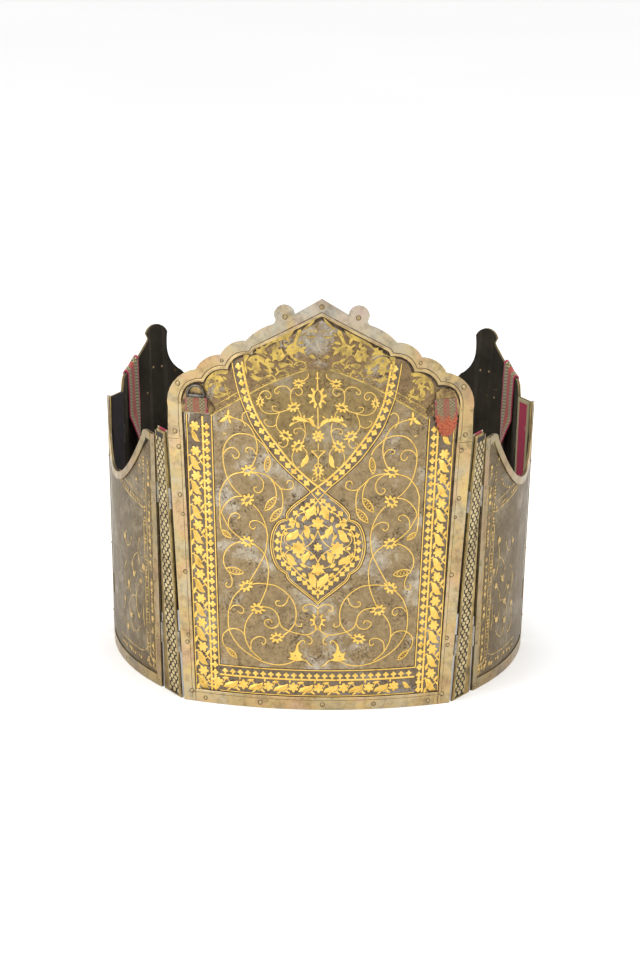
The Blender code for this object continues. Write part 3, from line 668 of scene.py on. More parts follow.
DOT = make_punch("dot", [(0, 0, 1.0)], 10)
TREFOIL = make_punch("trefoil", [(0, 0, 1.8), (-1.75, 0.2, 1.4), (1.75, 0.2, 1.4), (0, 1.7, 1.45),
                                 (0, -1.7, 1.15), (0, -3.0, 1.5)], 22)
SIX_PETALS = make_punch("six_petals", petals(6, 3.3, 1.65, 3.5), 36)
EIGHT_PETALS = make_punch("eight_petals", petals(8, 5.0, 1.9, 6.1), 40)
FIVE_PETALS = make_punch("five_petals", petals(5, 1.6, 1.2, 2.2), 25)
ROSETTE = make_punch("rosette", petals(8, 3.6, 1.6, 4.4, 22.5), 40)
LOBES = make_punch("lobes", petals(8, 4.3, 1.5, 5.7, 0), 72, edge=0.25)
print("seven punches are cut, from dot to lobes")


# %% [markdown]
# The layout board keeps the three kinds of work apart until the end, because each bends in its own
# way. Punch marks and leaves are small enough to follow a bow as they are, sheets and broad leaves
# are scored first, and wires are curves that only become meshes when the board is cleared. Every
# piece of gold gets a dark foot, which paints the seam of dirt that outlines old inlay together
# with the shade along the sides of the gold.

# %% The layout board
def drawn_mesh(curve):
    """The mesh of a curve, which is used up."""
    thing = bpy.data.objects.new("drawn", curve)
    mesh = bpy.data.meshes.new_from_object(thing)
    bpy.data.objects.remove(thing)
    bpy.data.curves.remove(curve)
    return mesh


class Layout:
    """Flat work in millimetres: struck shapes, cut leaves and bent wires."""

    def __init__(self):
        self.struck = bmesh.new()
        self.cut = bmesh.new()
        self.wires = []

    def strike(self, punch, x, y, turn=0.0, size=1.0, tall=1.0, flip=False, slot=0):
        """Set one punch mark."""
        wide = -size if flip else size
        matrix = Matrix.Translation((x, y, 0)) @ Matrix.Rotation(math.radians(turn), 4, "Z")
        mark = punch.copy()
        mark.transform(matrix @ Matrix.Diagonal((wide, size * tall, 1, 1)))
        add_mesh(self.struck, mark, slot)

    def leaf(self, start, end, width, bend=0.0, sides=14, slot=0, height=PROUD):
        """A pointed leaf from one tip to the other. A broad one gets lobes and a sway."""
        lobes = 0.11 if width > 4 and not slot else 0.0
        sides = 28 if lobes else sides
        shape = bmesh.new()
        bmesh.ops.create_circle(shape, cap_ends=True, segments=sides, radius=1)
        start, end = Vector((*start, 0)), Vector((*end, 0))
        along = end - start
        for vert in shape.verts:
            t = vert.co.y
            swell = math.copysign(max(0.0, 1 - t * t) ** (1.0 if lobes else 0.75), vert.co.x)
            swell *= 1 + lobes * math.cos(9.4 * t + math.copysign(0.9, vert.co.x))
            sway = bend * (1 - t * t) + lobes * width * math.sin(math.pi * t)
            vert.co = Vector((swell * width / 2 + sway, t * along.length / 2, 0))
        turn = Matrix.Rotation(math.atan2(along.y, along.x) - math.pi / 2, 4, "Z")
        shape.transform(Matrix.Translation((start + end) / 2) @ turn)
        pillow(shape, min(0.3, width * 0.11), height)
        add_mesh(self.struck, as_mesh(shape, "leaf"), slot)

    def leaves(self, rows, grow=1.0):
        """Leaves and their mirrors. A row is two tips, a width and, if it sways, a bend."""
        for row in rows.split(";"):
            first, last, width, *bend = row.split()
            (ax, ay), (bx, by) = route(first + " " + last)
            bend = float(bend[0]) if bend else 0.0
            for sign in (1, -1):
                self.leaf((sign * ax, ay), (sign * bx, by), float(width) * grow, sign * bend)

    def from_curves(self, lines, thick=0.0):
        """Wires of a thickness along lines, or with none, flat shapes cut inside them."""
        filled = not thick
        curve = bpy.data.curves.new("drawn", "CURVE")
        curve.dimensions = "2D" if filled else "3D"
        curve.bevel_depth = 0.2 if filled else thick / 2
        curve.bevel_resolution = 0 if filled else 1
        curve.resolution_u = 3 if filled else 4
        curve.extrude = PROUD - 0.2 if filled else 0
        curve.offset = -0.1 if filled else 0
        curve.fill_mode = "BOTH" if filled else "FULL"
        curve.use_fill_caps = not filled
        for line in lines:
            spline = curve.splines.new("BEZIER")
            spline.bezier_points.add(len(line) - 1)
            for knot, place in zip(spline.bezier_points, line):
                knot.co = (place[0], place[1], 0)
            for knot, place in zip(spline.bezier_points, line):
                kind = "VECTOR" if len(place) == 3 else "AUTO"
                knot.handle_left_type = knot.handle_right_type = kind
            spline.use_cyclic_u = filled
            if not filled:
                spans = [math.dist(a[:2], b[:2]) for a, b in zip(line, line[1:])]
                spline.resolution_u = max(4, math.ceil(max(spans) / LONGEST_STEP))
        mesh = drawn_mesh(curve)
        mesh.transform(Matrix.Diagonal((1, 1, 1 if filled else 2 * PROUD / thick, 1)))
        for face in mesh.polygons:
            # Low sides of wires and sheets take the dark foot: painted shade with some dirt.
            if face.center.z < 0.4 * PROUD or (filled and face.normal.z < 0.9):
                face.material_index = FOOT
        return mesh

    def cut_leaf(self, line):
        """A leaf of its own outline, and its mirror."""
        for way in (line, mirror_line(line)):
            add_mesh(self.cut, self.from_curves([way]))

    def wire(self, line, thick=0.95, both=True, dot=0.0):
        """A bent wire and its mirror, with a dot on the far end if asked."""
        line = stepped(line)
        for way in ([line, mirror_line(line)] if both else [line]):
            self.wires.append((thick * 1.16, way))
            if dot:
                self.strike(DOT, *way[-1][:2], size=dot)

    def score(self, axis, pitch):
        """Cut the flat sheets across, so that they can bend."""
        low = min(vert.co[axis] for vert in self.cut.verts)
        high = max(vert.co[axis] for vert in self.cut.verts)
        normal = Vector((1, 0, 0)) if axis == 0 else Vector((0, 1, 0))
        for step in range(math.ceil(low / pitch), math.floor(high / pitch) + 1):
            whole = self.cut.verts[:] + self.cut.edges[:] + self.cut.faces[:]
            bmesh.ops.bisect_plane(self.cut, geom=whole, dist=1e-4,
                                   plane_co=normal * step * pitch, plane_no=normal)

    def gathered(self, rows):
        """All the work as one flat shape, with every struck face turned up."""
        for face in self.struck.faces:
            face.normal_update()
            if face.normal.z < 0:
                face.normal_flip()
        bmesh.ops.recalc_face_normals(self.cut, faces=self.cut.faces[:])
        for axis, pitch in ((0, SHEET_STEP), (1, rows)):
            if pitch and self.cut.verts:
                self.score(axis, pitch)
        self.struck.from_mesh(as_mesh(self.cut, "flat"))
        for thick in sorted({wire[0] for wire in self.wires}):
            lines = [wire[1] for wire in self.wires if wire[0] == thick]
            add_mesh(self.struck, self.from_curves(lines, thick))
        return self.struck

    def bent(self, name, body, form, finishes, start=None, lean=None, proud=0.0, rows=0.0,
             carrier=None):
        """Bend the layout over a form, or lay it on a carrier's faces, as one piece."""
        shape = self.gathered(rows)
        for vert in shape.verts:
            x, y, out = vert.co
            across = x + (lean(y) if lean else 0)
            across = across * MM + (form.width(y * MM) / 2 if start is None else start)
            vert.co = form.at(across, y * MM, PLATE_FACE + (out + proud) * MM)
            if carrier:
                way = form.outward(across, y * MM)
                touch = carrier.ray_cast(vert.co + way * RAY_START, -way, RAY_LENGTH)[0]
                if touch:
                    vert.co = touch + way * (out + proud) * MM
        triangles = sum(len(face.verts) - 2 for face in shape.faces)
        print(name, triangles, "triangles")
        return finish_piece(shape, name, body, finishes, 50)


print("the board is ready, gold will stand", PROUD, "mm proud")


# %% [markdown]
# Gold reads best on a dark ground, and a smith browns the steel deeper where a border will lie.
# Here the grounds of the borders and of the crest are thin flat sheets, cut to the outline of each
# zone and laid a hair above the plate. That keeps their edges crisp at any distance.

# %% Dark grounds of the front plate
CREST_LINE = route("-99.5,278 -90,284.5 -80,291 -73,295.5 -64,301 -50,309.5 -30,319 -10,326.5")
CREST_EDGE = route("-107,306 -104,315 -99.5,320.5 -92,324 -84,322.5 -82,323 -81,330 -76,336 "
                   "-70,339 -62,338 -60,341 -58,345 -52,350 -40,357 -20,366.5 0,376")

side_ground = [(-90.0, 12.6), (-112.6, 12.6), (-113.2, 20), (-123.0, 255), (-122, 262),
               (-119.5, 279), (-99.6, 279)]
foot_ground = [(-91.5, 12.6), (91.5, 12.6), (91.5, 38), (-91.5, 38)]


def sheet_of(layout, line, slot=0):
    """A flat sheet with straight edges, cut from a closed line."""
    curve = bpy.data.curves.new("ground", "CURVE")
    curve.dimensions = "2D"
    curve.fill_mode = "BOTH"
    curve.extrude = 0.04
    spline = curve.splines.new("POLY")
    spline.points.add(len(line) - 1)
    for knot, (x, y) in zip(spline.points, line):
        knot.co = (x, y, 0, 1)
    spline.use_cyclic_u = True
    add_mesh(layout.cut, drawn_mesh(curve), slot)


grounds = Layout()
sheet_of(grounds, side_ground)
sheet_of(grounds, mirror_line(side_ground))
sheet_of(grounds, foot_ground)
crest = CREST_LINE + mirror_line(CREST_LINE)[::-1] + [(118.5, 278), (119.5, 290), (107, 306)]
crest += mirror_line(CREST_EDGE)[1:] + CREST_EDGE[::-1][1:] + [(-119.5, 290), (-118.5, 278)]
sheet_of(grounds, crest, 1)
grounds.bent("front_grounds", "front", FRONT, [GROUND, CREST_GROUND], proud=0.02)


# %% [markdown]
# The rim isn't a plain strip. A rounded bead runs along its inner edge, a dark line beside it is
# painted shade of a step in the rim, and a dark wire in the step between rim and plate is painted
# shade with some old dirt. All three follow the cusps of the crest, so each is one wire of its own
# thickness, drawn on the left and mirrored.
# On the real rim the cusps meet in sharp nicks, which are the corners marked in the lines.

# %% Bead, painted shade and dirt of the rim
# A dark wire in the step inside the rim: painted shade, with some dirt.
dark_edge = Layout()
dark_edge.wire(route("!0,374.4 !-59.6,342 !-61.6,338.2 -66.5,338.0 -72,337.4 -77.5,334.6 -82.2,329.6 "
                "!-84.6,323.1 -88.5,323.4 -93.5,322.6 -98.1,320.2 -102.6,316.6 !-106.9,309.5 "
                "-113,309 -119,306.5 -123.6,302 -126.6,295 !-127.4,288"), 4.6)
dark_edge.wire([(-127.2, 288), (-127, 270), (-125.6, 253.5), (-119.5, 126), (-113.9, 10)], 3.0)
dark_edge.wire([(0, 12.2), (-40, 12.2), (-80, 12.2), (-113, 12.2)], 2.8)
dark_edge.bent("rim_edge_shade_and_dirt", "front", FRONT, LINE_SHADE_AND_DIRT)
# A dark line on the rim, beside the bead: painted shade of a step in the rim.
rim_step_shade = Layout()
rim_step_shade.wire(route("!0,379.4 !-62.6,345.6 !-65.4,341.4 -72,340.4 -79,337.4 -84.4,331.6 !-87,326.4 "
                   "-93.5,325.8 -99.6,323.2 -105,318.6 !-109,312.6 -114,312 -121,308.8 "
                   "-126.4,303 -129.6,295 !-130.2,287"), 1.0)
rim_step_shade.wire([(-130.2, 287), (-129.8, 270), (-128.4, 255)], 0.6)
rim_step_shade.wire([(-128.2, 252), (-122.2, 126), (-116.4, 3)], 0.5)
rim_step_shade.wire([(0, 9.4), (-40, 9.4), (-80, 9.4), (-115, 9.4)], 0.45)
rim_step_shade.bent("rim_step_painted_shade", "front", FRONT, LINE_SHADE, proud=1.18)
bead = Layout()
bead.wire(route("!0,377 !-61.2,343.9 !-63.6,340.0 -69,339.2 -75.4,337.0 -80.9,332.8 !-85.7,324.9 "
                "-91,324.7 -96.6,322.7 -101.8,319.2 !-107.9,311.1 -113.6,310.5 -120,307.6 "
                "-125,302.4 -128.0,295 !-128.8,287"), 1.7)
bead.bent("rim_bead", "front", FRONT, BEAD_GOLD, proud=1.26)


# %% [markdown]
# The borders run up both sides and along the foot of the front plate. A row of trefoils stands on
# an inner strip, and beside it six-petalled flowers and pairs of leaves repeat from bottom to top.
# Such a border is struck along lines that were scored first, so the lines are set out as a start
# and a slope. The leaves slant the same way on both sides, and only the trefoils are mirrored.

# %% Borders of the front plate
def line_at(start, slope, y):
    """How far a border line is from the middle at a height."""
    return start + slope * y


INNER_LINE, STRIP, OUTER_LINE = (90.4, 0.034), (97.8, 0.038), (112.8, 0.037)
SIDE_PITCH, FOOT_PITCH = 23.6, 23.4
SIDE_TREFOILS, FOOT_TREFOILS, SEAM_EXTRA = 7.4, 7.15, 1.1
border_lines = ((INNER_LINE, 1.1, 278), (STRIP, 2.0, 277), (OUTER_LINE, 1.0, 278))
# Wider dark wires sunk under the border's lines: painted shade along the gold, with some dirt.
borders, border_shade_lines = Layout(), Layout()
for sign in (-1, 1):
    for (start, slope), thick, top in border_lines:
        foot = 12.9 if start > 95 else 38
        heights = [foot + (top - foot) * step / 6 for step in range(7)]
        line = [(sign * line_at(start, slope, y), y) for y in heights]
        borders.wire(line, thick, both=False)
        border_shade_lines.wire(line, thick + SEAM_EXTRA, both=False)
    y = 16.0
    while y < 274:
        x = line_at(*STRIP, y) - 3.4
        borders.strike(TREFOIL, sign * x, y, turn=90 * sign + 2 * sign, size=1.12)
        y += SIDE_TREFOILS
    for step in range(11):
        y = 31 + SIDE_PITCH * step
        near, far = sign * line_at(*STRIP, y), sign * line_at(*OUTER_LINE, y)
        middle = (near + far) / 2
        wide = abs(far - near) / 15
        left = min(near, far)
        borders.strike(SIX_PETALS, middle, y, turn=30, size=wide * 1.02)
        if step < 10:
            stem = ((0.6, -4), (4.6, -9), (0.4, -12.6), (-4.4, -16), (-0.6, -20))
            borders.wire([(middle + x * wide, y + up) for x, up in stem], 0.85, both=False)
        if step == 10:
            borders.leaf((middle - 4, y - 3.5), (middle + 5.5, y - 15), 5.6 * wide, 1.0)
            continue
        borders.leaf((middle - 5.4 * wide, y - 4.0), (middle + 5.8 * wide, y - 18.0),
                     7.2 * wide, 1.4)
        borders.leaf((middle + 2.6, y - 8.4), (middle + 6.6 * wide, y - 2.4), 3.2, 0.5)
        borders.leaf((middle - 5.8 * wide, y - 20.4), (middle - 3.6 * wide, y - 12.6), 3.2, -0.4)
        borders.leaf((left, y - 5.6), (left + 3.8, y - 3.2), 1.6)
        borders.leaf((middle + 7.0 * wide, y - 12.4), (middle + 4.6 * wide, y - 8.0), 1.8)
for height, thick in ((13.4, 1.0), (29.2, 2.0), (38.4, 1.2)):
    half = line_at(*INNER_LINE, height) - 0.2
    line = [(-half + half * step / 5, height) for step in range(11)]
    borders.wire(line, thick, both=False)
    border_shade_lines.wire(line, thick + SEAM_EXTRA, both=False)
x = -86.0
while x < 88:
    borders.strike(TREFOIL, x, 33.0, size=0.98)
    x += FOOT_TREFOILS
for step in range(-4, 4):
    x = 1.5 + FOOT_PITCH * step
    borders.strike(SIX_PETALS, x, 21.4, size=1.02)
    stem = ((-4, 21), (-9, 16.6), (-12.4, 21), (-16, 25.4), (-19, 21.4))
    borders.wire([(x + aside, y) for aside, y in stem], 0.85, both=False)
    if x > -82:
        borders.leaf((x - 19.4, 16.8), (x - 4.6, 25.0), 6.8, 1.2)
        borders.leaf((x - 20.4, 25.6), (x - 13.0, 26.8), 3.0)
        borders.leaf((x - 8.0, 18.6), (x - 2.8, 14.6), 2.9)
        borders.leaf((x - 3.6, 25.0), (x - 3.2, 29.2), 2.0)
        borders.leaf((x - 15.6, 14.2), (x - 11.4, 17.2), 2.0)
borders.leaf((79.5, 25.2), (88, 18.6), 4.8, 0.8)
for x, y in ((-95, 20), (95, 20), (-95, 27), (95, 27)):
    borders.strike(FIVE_PETALS, x, y, size=0.55)
# Painted shade and dirt under the border's lines.
border_shade_lines.bent("border_painted_shade_and_dirt", "front", FRONT, LINE_SHADE_AND_DIRT, proud=-0.09)
borders.bent("border_gold", "front", FRONT, [GOLD, GROUND, GOLD_FOOT_SHADE_AND_DIRT])


# %% [markdown]
# From the shoulders a band of trefoils sweeps down like a collar. Its two arms cross above the
# waist and run on round a cusped medallion, which is nearly all gold. The whole pendant leans a
# little to the left as it climbs, because it was laid out by eye, and the layout keeps that lean.

# %% Collar band and medallion
LEAN = [(0, 0.0), (85, 0.0), (158, -0.8), (260, -2.0), (310, -3.6), (400, -5.5)]


def ornament_lean(y):
    """How far the pendant has strayed from the middle at a height."""
    for (low, first), (high, second) in zip(LEAN, LEAN[1:]):
        if y <= high:
            return first + (second - first) * (y - low) / (high - low)
    return LEAN[-1][1]


def along_line(line, pitch, start=0.0):
    """Places at an even pitch along a line, with the way it runs there."""
    walked, wanted = 0.0, start
    for (ax, ay), (bx, by) in zip(line, line[1:]):
        length = math.hypot(bx - ax, by - ay)
        while wanted <= walked + length:
            share = (wanted - walked) / length
            yield ax + (bx - ax) * share, ay + (by - ay) * share, math.atan2(by - ay, bx - ax)
            wanted += pitch
        walked += length


COLLAR_OUTER = route("-77.2,331 -75.4,320 -73.4,310 -70.4,298 -65.5,285 -60,272 -53,261 -46,251 "
                     "-38.2,241 -28.2,231 -18.4,222 -12.4,217 -6.6,211")
COLLAR_INNER = route("-68,331 -66.2,320 -64.2,310 -61.2,297 -57.6,287 -52.8,277 -47.9,269 -40,258 "
                     "-33.1,249 -26.1,240 -18.2,232 -8.4,223 -2.5,218.2 0.6,214.4 4,211")
MEDAL_OUTER = route("-6.6,211 -11,207 -19,201 -26,194 -29,189 -29,185 -32,184 -37,181 -41,174 "
                    "-43.2,165 -43.2,155 -41.2,146 -37.3,138 -32.3,134 -29.4,132 -28.5,129 "
                    "-25.6,125 -19.7,120 -9.8,112 -4,107.3 0,103.4")
MEDAL_INNER = route("0,203 -4,198.6 -11,193 -17,190 -20.2,186 -21.4,181 -23,177 -29,175 -32.3,171 "
                    "-33.8,164 -34.3,158 -33.3,150 -30.4,145 -25.5,141 -20.6,136 -17.6,132.5 "
                    "-12.7,129 -8.8,126 -3.9,121 0,116.4")
CROSSING = [(0, 216.6)]
medallion_ground = Layout()
pendant = COLLAR_OUTER + MEDAL_OUTER[1:] + mirror_line(MEDAL_OUTER)[::-1][1:]
pendant += mirror_line(COLLAR_OUTER)[::-1][1:] + mirror_line(COLLAR_INNER)[:-2]
pendant += CROSSING + COLLAR_INNER[:-2][::-1]
sheet_of(medallion_ground, pendant)
panel = route("-62,301 -50,309 -30,318.5 -10,326 10,326 30,318.5 50,309 62,301")
panel += mirror_line(COLLAR_INNER)[4:-2] + CROSSING + COLLAR_INNER[4:-2][::-1]
sheet_of(medallion_ground, panel, 1)
medallion_ground.bent("medallion_ground", "front", FRONT, [GROUND, PANEL], lean=ornament_lean,
                      proud=0.05)


# %% [markdown]
# The band's edges are wires laid over wider dark wires, which paint the shade along them together
# with old dirt, and its trefoils are struck at an even pitch along the inner line, each one turned
# square to it. That is how a smith works too: the line is scored first, stepped off with dividers,
# and the punch follows the marks.

# %% Gold of the collar band
# Wider dark wires under the pendant's lines: painted shade along the gold, with some dirt.
pendant_shade_lines = Layout()
for line in (COLLAR_OUTER + route("!-6.6,211 0,203.4"), MEDAL_OUTER, MEDAL_INNER,
             COLLAR_INNER[:-2] + route("!0,216.6 !6.6,211")):
    pendant_shade_lines.wire(line, 2.5)
pendant_shade_lines.bent("collar_painted_shade_and_dirt", "front", FRONT, LINE_SHADE_AND_DIRT, lean=ornament_lean, proud=-0.09)

collar = Layout()
collar.wire(COLLAR_OUTER + route("!-6.6,211 0,203.4"), 1.1)
collar.wire(COLLAR_INNER[:-2] + route("!0,216.6 !6.6,211"), 1.9)
collar.strike(TREFOIL, 0, 210.4, turn=180, size=0.9)
for way in (COLLAR_INNER[:-2], mirror_line(COLLAR_INNER[:-2])):
    side_turn = 1 if way[0][0] > 0 else -1
    for x, y, heading in along_line(way, 7.7, 4.0):
        out = heading + side_turn * math.pi / 2
        spot = (x + 3.5 * math.cos(out), y + 3.5 * math.sin(out))
        collar.strike(TREFOIL, *spot, turn=math.degrees(out) - 90, size=1.16)
collar.wire(MEDAL_OUTER, 1.1)
collar.wire([(x * 0.955, 157 + (y - 157) * 0.965) for x, y in MEDAL_OUTER[1:]], 0.7)
collar.wire(MEDAL_INNER, 1.2)
for x, y, heading in along_line(MEDAL_INNER, 6.6, 3.4):
    out = heading - math.pi / 2
    for sign in (-1, 1):
        spot = (-sign * (x + 3.2 * math.cos(out)), y + 3.2 * math.sin(out))
        collar.strike(TREFOIL, *spot, turn=(math.degrees(out) - 90) * -sign, size=1.06,
                      flip=sign > 0)
collar.bent("collar_gold", "front", FRONT, [GOLD, GROUND, GOLD_FOOT_SHADE_AND_DIRT], lean=ornament_lean)


# %% [markdown]
# Inside the medallion, flowers and twisted leaves fill almost all the ground. Five flowers give
# the frame, short stems join them, and leaves of many sizes are fitted in between. They are listed
# for the left half only, each by its two tips, its width and its bend.

# %% Gold of the medallion
medallion = Layout()
for x, y, size, punch in ((0, 158.5, 0.86, SIX_PETALS), (0, 181.5, 1.25, SIX_PETALS),
                          (0, 137.5, 1.32, SIX_PETALS), (-18, 157, 0.92, EIGHT_PETALS),
                          (18, 157, 0.92, EIGHT_PETALS)):
    medallion.strike(punch, x, y, size=size)
medallion.wire(route("0,175 -2.6,168 -7,161.6 -13,157.4"), 1.0)
medallion.wire(route("0,144 -2.6,149 -7,153.6 -13,157.4"), 1.0)
medallion.wire(route("-12,160 -15,168 -12,175.4 -5,180"), 0.9)
medallion.wire(route("-12,155 -15,148 -12,141 -5,138"), 0.9)
medallion.wire(route("-24,158 -29,161 -31,167 -27,172"), 0.8)
medallion.wire(route("-24,156 -29,153 -30,148 -25,144"), 0.8)
medallion.leaves(
    "-2,199 -10,184 6.4 1; -13,180 -8.6,166 5.4 -1; -18,175.6 -29.5,163.5 6.4 -1; "
    "-29.5,151.5 -18.6,141 6.2 1; -8,155 -12.6,142 5.2 1; -9.4,134 -2,118.5 6.4 -1; "
    "-12.5,189 -13.5,181.5 3.4; -20.5,182.5 -16.5,176.5 3.6; -17.6,171 -13,164.5 3; "
    "-30.5,158.6 -26,156 3.2; -20.6,151.5 -15,147.5 3.2; -16.5,143 -11,138.5 3.2; "
    "-20,138.5 -13.6,136.5 3; -14.6,134 -10.4,129.6 3; -5.4,195.5 -1.2,188.6 2.8; "
    "-31.6,169.5 -27.5,172.5 3; -7.6,171.5 -2.2,165.6 3.4; -7.6,146 -2.4,151.6 3.4; "
    "-30.8,147.5 -32.2,154 2.4; -24.6,172.6 -22.4,168 2.8", 1.22)
medallion.wire(route("0,124 -4.6,127 -7.2,131.5 -5,134.5 -2.4,132.6"), 0.9, dot=0.7)
medallion.leaf((0, 199), (0, 190), 2.6)
medallion.leaf((0, 117.5), (0, 127.5), 2.4)
medallion.leaf((0, 108), (0, 115), 2.6)
medallion.bent("medallion_gold", "front", FRONT, [GOLD, GROUND, GOLD_FOOT_SHADE_AND_DIRT], lean=ornament_lean)


# %% [markdown]
# Two ornaments come back all over the plate, so each gets a helper. The open flower is a lobed
# punch mark with a dark almond set on it, a hair higher than the gold. The hatched leaf is two
# bent wires with fine wires across, just as it would be drawn with a graver.

# %% Open flowers and hatched leaves
EYE_HEIGHT = PROUD + 0.08


def eyed_flower(layout, x, y, size, turn):
    """An open flower and its mirror: a ring of small lobes round an almond-shaped eye."""
    for sign in (1, -1):
        layout.strike(LOBES, sign * x, y, turn=sign * turn, size=size, tall=0.8, flip=sign < 0)
        way = math.radians(sign * turn)
        aside = Vector((math.cos(way), math.sin(way))) * 3.9 * size
        start, end = (sign * x - aside.x, y - aside.y), (sign * x + aside.x, y + aside.y)
        layout.leaf(start, end, 3.7 * size, 0, 12, slot=1, height=EYE_HEIGHT)
        spur = [((4.4, 0), (8.6, 0.6), 1.9), ((-4.6, 0.4), (-7.6, -0.4), 1.5)]
        for (ax, ay), (bx, by), wide in spur:
            ends = [(sign * x + (px * math.cos(way) - py * math.sin(way)) * size,
                     y + (px * math.sin(way) + py * math.cos(way)) * size)
                    for px, py in ((sign * ax, ay), (sign * bx, by))]
            layout.leaf(*ends, wide * size)


def hatched_leaf(layout, start, end, width):
    """A leaf drawn as an outline with fine strokes across it."""
    (ax, ay), (bx, by) = start, end
    length = math.hypot(bx - ax, by - ay)
    ux, uy = (bx - ax) / length, (by - ay) / length
    rows = [(t / 6, math.sin(math.pi * t / 6) ** 0.8 * width / 2) for t in range(7)]
    left = [(ax + ux * length * t - uy * w, ay + uy * length * t + ux * w) for t, w in rows]
    right = [(ax + ux * length * t + uy * w, ay + uy * length * t - ux * w) for t, w in rows]
    layout.wire(left, 0.8)
    layout.wire(right, 0.8)
    for step in range(1, 6):
        layout.wire([left[step], right[min(6, step + 1)]], 0.45)
        layout.wire([right[step], left[min(6, step + 1)]], 0.45)


print("an eye stands", round(EYE_HEIGHT, 2), "mm above the steel")


# %% [markdown]
# Thin vines fill the field. Each one is a wire bent in long arcs that end in spirals, small
# flowers with a dark eye, or hatched leaves. The left half is written down once and mirrored.
# Long stems and short spirals are listed apart, because only the spirals end in a dot.

# %% Lines of the vines
VINES = [
    "-80,278 -73,276 -66,272 -62,267 -59,260 -57.5,253 -58,245 -60,238 -63,232",
    "-47,246 -50,252 -55,257 -62,262 -70,263.5 -78,262 -84,257 -88,250 -89,243 -88,232 -84,219 "
    "-78,210 -71,204",
    "-71,227 -80,224 -86,218 -90,211 -91.8,204 -91.5,192 -91.5,180 -90.5,171",
    "-61,228 -50,226 -45,223 -40,218 -36,214 -34,208 -33.5,200 -34,195",
    "-45,223 -42,218 -40,212 -39.5,206",
    "-71,204 -76,203.5 -81,201 -86,196 -89,191 -90,186 -89,184 -86,178 -83,173 -78,168 -71,163",
    "-61,197 -55.5,191 -52,185 -49,177 -47.5,168 -48,160 -49.5,151 -53,143 -58,133 -64,122",
    "-72,160.5 -78,158 -83,154 -87,148 -88,140 -86.5,135 -85,133",
    "-60,159 -54,154.5 -50,149.5 -47.5,143 -46.2,135 -46.5,127 -47.5,119 -50,111 -54,101",
    "-62,120 -55,121.4 -48,121.2 -41,120.5 -34,117 -28,112 -23.5,106 -20.8,99 -20.2,91 -21.5,84 "
    "-24.5,79 -28,75 -32,72",
    "-72,114 -78,107 -81,100 -83,93 -83.5,84 -82.5,74.5 -79.5,67.5 -75,61 -68,54.5 -60,49.5 "
    "-53,46 -46,44 -38,42.8 -31,43.5 -25,45.5 -20.5,48",
    "-60,93 -64.5,87 -67,81 -68,75 -67.5,68 -65.5,62 -62,56 -57,51 -52,47",
    "-50,99 -44,98 -39.5,95 -37,91 -35.5,85 -33,80 -30,78 -25,76 -18,74.3 -10,73.5 -5,75.5 0,80",
    "-68,70 -71,73.5 -75,75.2 -80,75 -85,72.5 -88,68.5 -88.8,63 -87,58 -85,55.5",
]
SPIRALS = [
    "-89,242 -86,247 -81,249.5 -76,248 -74,244 -76,240 -79,240.5 -80,243",
    "-58,243 -60,248 -63,250.5 -67,250 -68,247.5 -66,246.5",
    "-37,214 -33,213 -29,213 -25,214.5 -24,218 -26,221.5 -29,221 -30,218.5",
    "-60,227 -55,224 -52,220 -51.5,215 -53,210.5 -56,208.5 -59.5,210 -60,213 -57.8,214",
    "-83.5,174 -83.5,180 -81.5,185 -78,187.5 -74.5,187 -73,184 -75,182.5",
    "-49,175 -52,179 -56,181.2 -60,181.5 -63.5,179.5 -63.5,175.5 -60.5,173.5 -58.5,175.5",
    "-83,130 -80.5,125 -80,120 -81.5,116 -84.5,115.5 -86,118 -84.5,120",
    "-27.5,110 -28.5,106 -31,102 -35,100.5 -39,102 -38.6,105 -36,105.5",
    "-81.5,94 -79.5,97 -76,98.5 -72,98 -69.3,95.5 -69.5,92 -72,91 -74,92.5",
    "-35.5,84.5 -38,80.5 -43,78.5 -48,81 -49.5,84 -47,86.5 -43.5,86.5 -42.5,84",
    "-62,57 -62,61 -61,65 -58,68 -53,69.5 -49,68 -48.3,65 -50,62.2 -52,64",
    "-20.5,87 -20.5,84 -18,81.5 -15,82 -15.2,84.4",
    "-10,72.5 -7,71 -5.2,68.5 -6,65 -8.5,64.4",
    "0,99 -2,101 -6,103 -11,102.5 -14,99.5 -12,96.5 -10,98",
    "-86,262 -88.4,262.6",
    "-16,48.5 -12,48.5 -9,46.5 -7,44 -4.5,43",
    "-20,48.5 -18,49 -18,55 -18.5,60 -17,65 -14.6,67.5 -12,67 -12,65.5",
    "-68,270.5 -70,274 -71.5,279 -70,283 -66.5,285 -64,283.6",
]
vines = Layout()
for stem in VINES:
    vines.wire(route(stem), 0.82)
for spiral in SPIRALS:
    vines.wire(route(spiral), 0.76, dot=0.85)
print(len(VINES), "stems and", len(SPIRALS), "spirals for one half")


# %% [markdown]
# Then flowers and leaves are set on the ends of the vines. Two small beast heads face each other
# at the foot, each one cut as a leaf with a pointed snout and ears, and a palmette stands between
# them on the middle line.

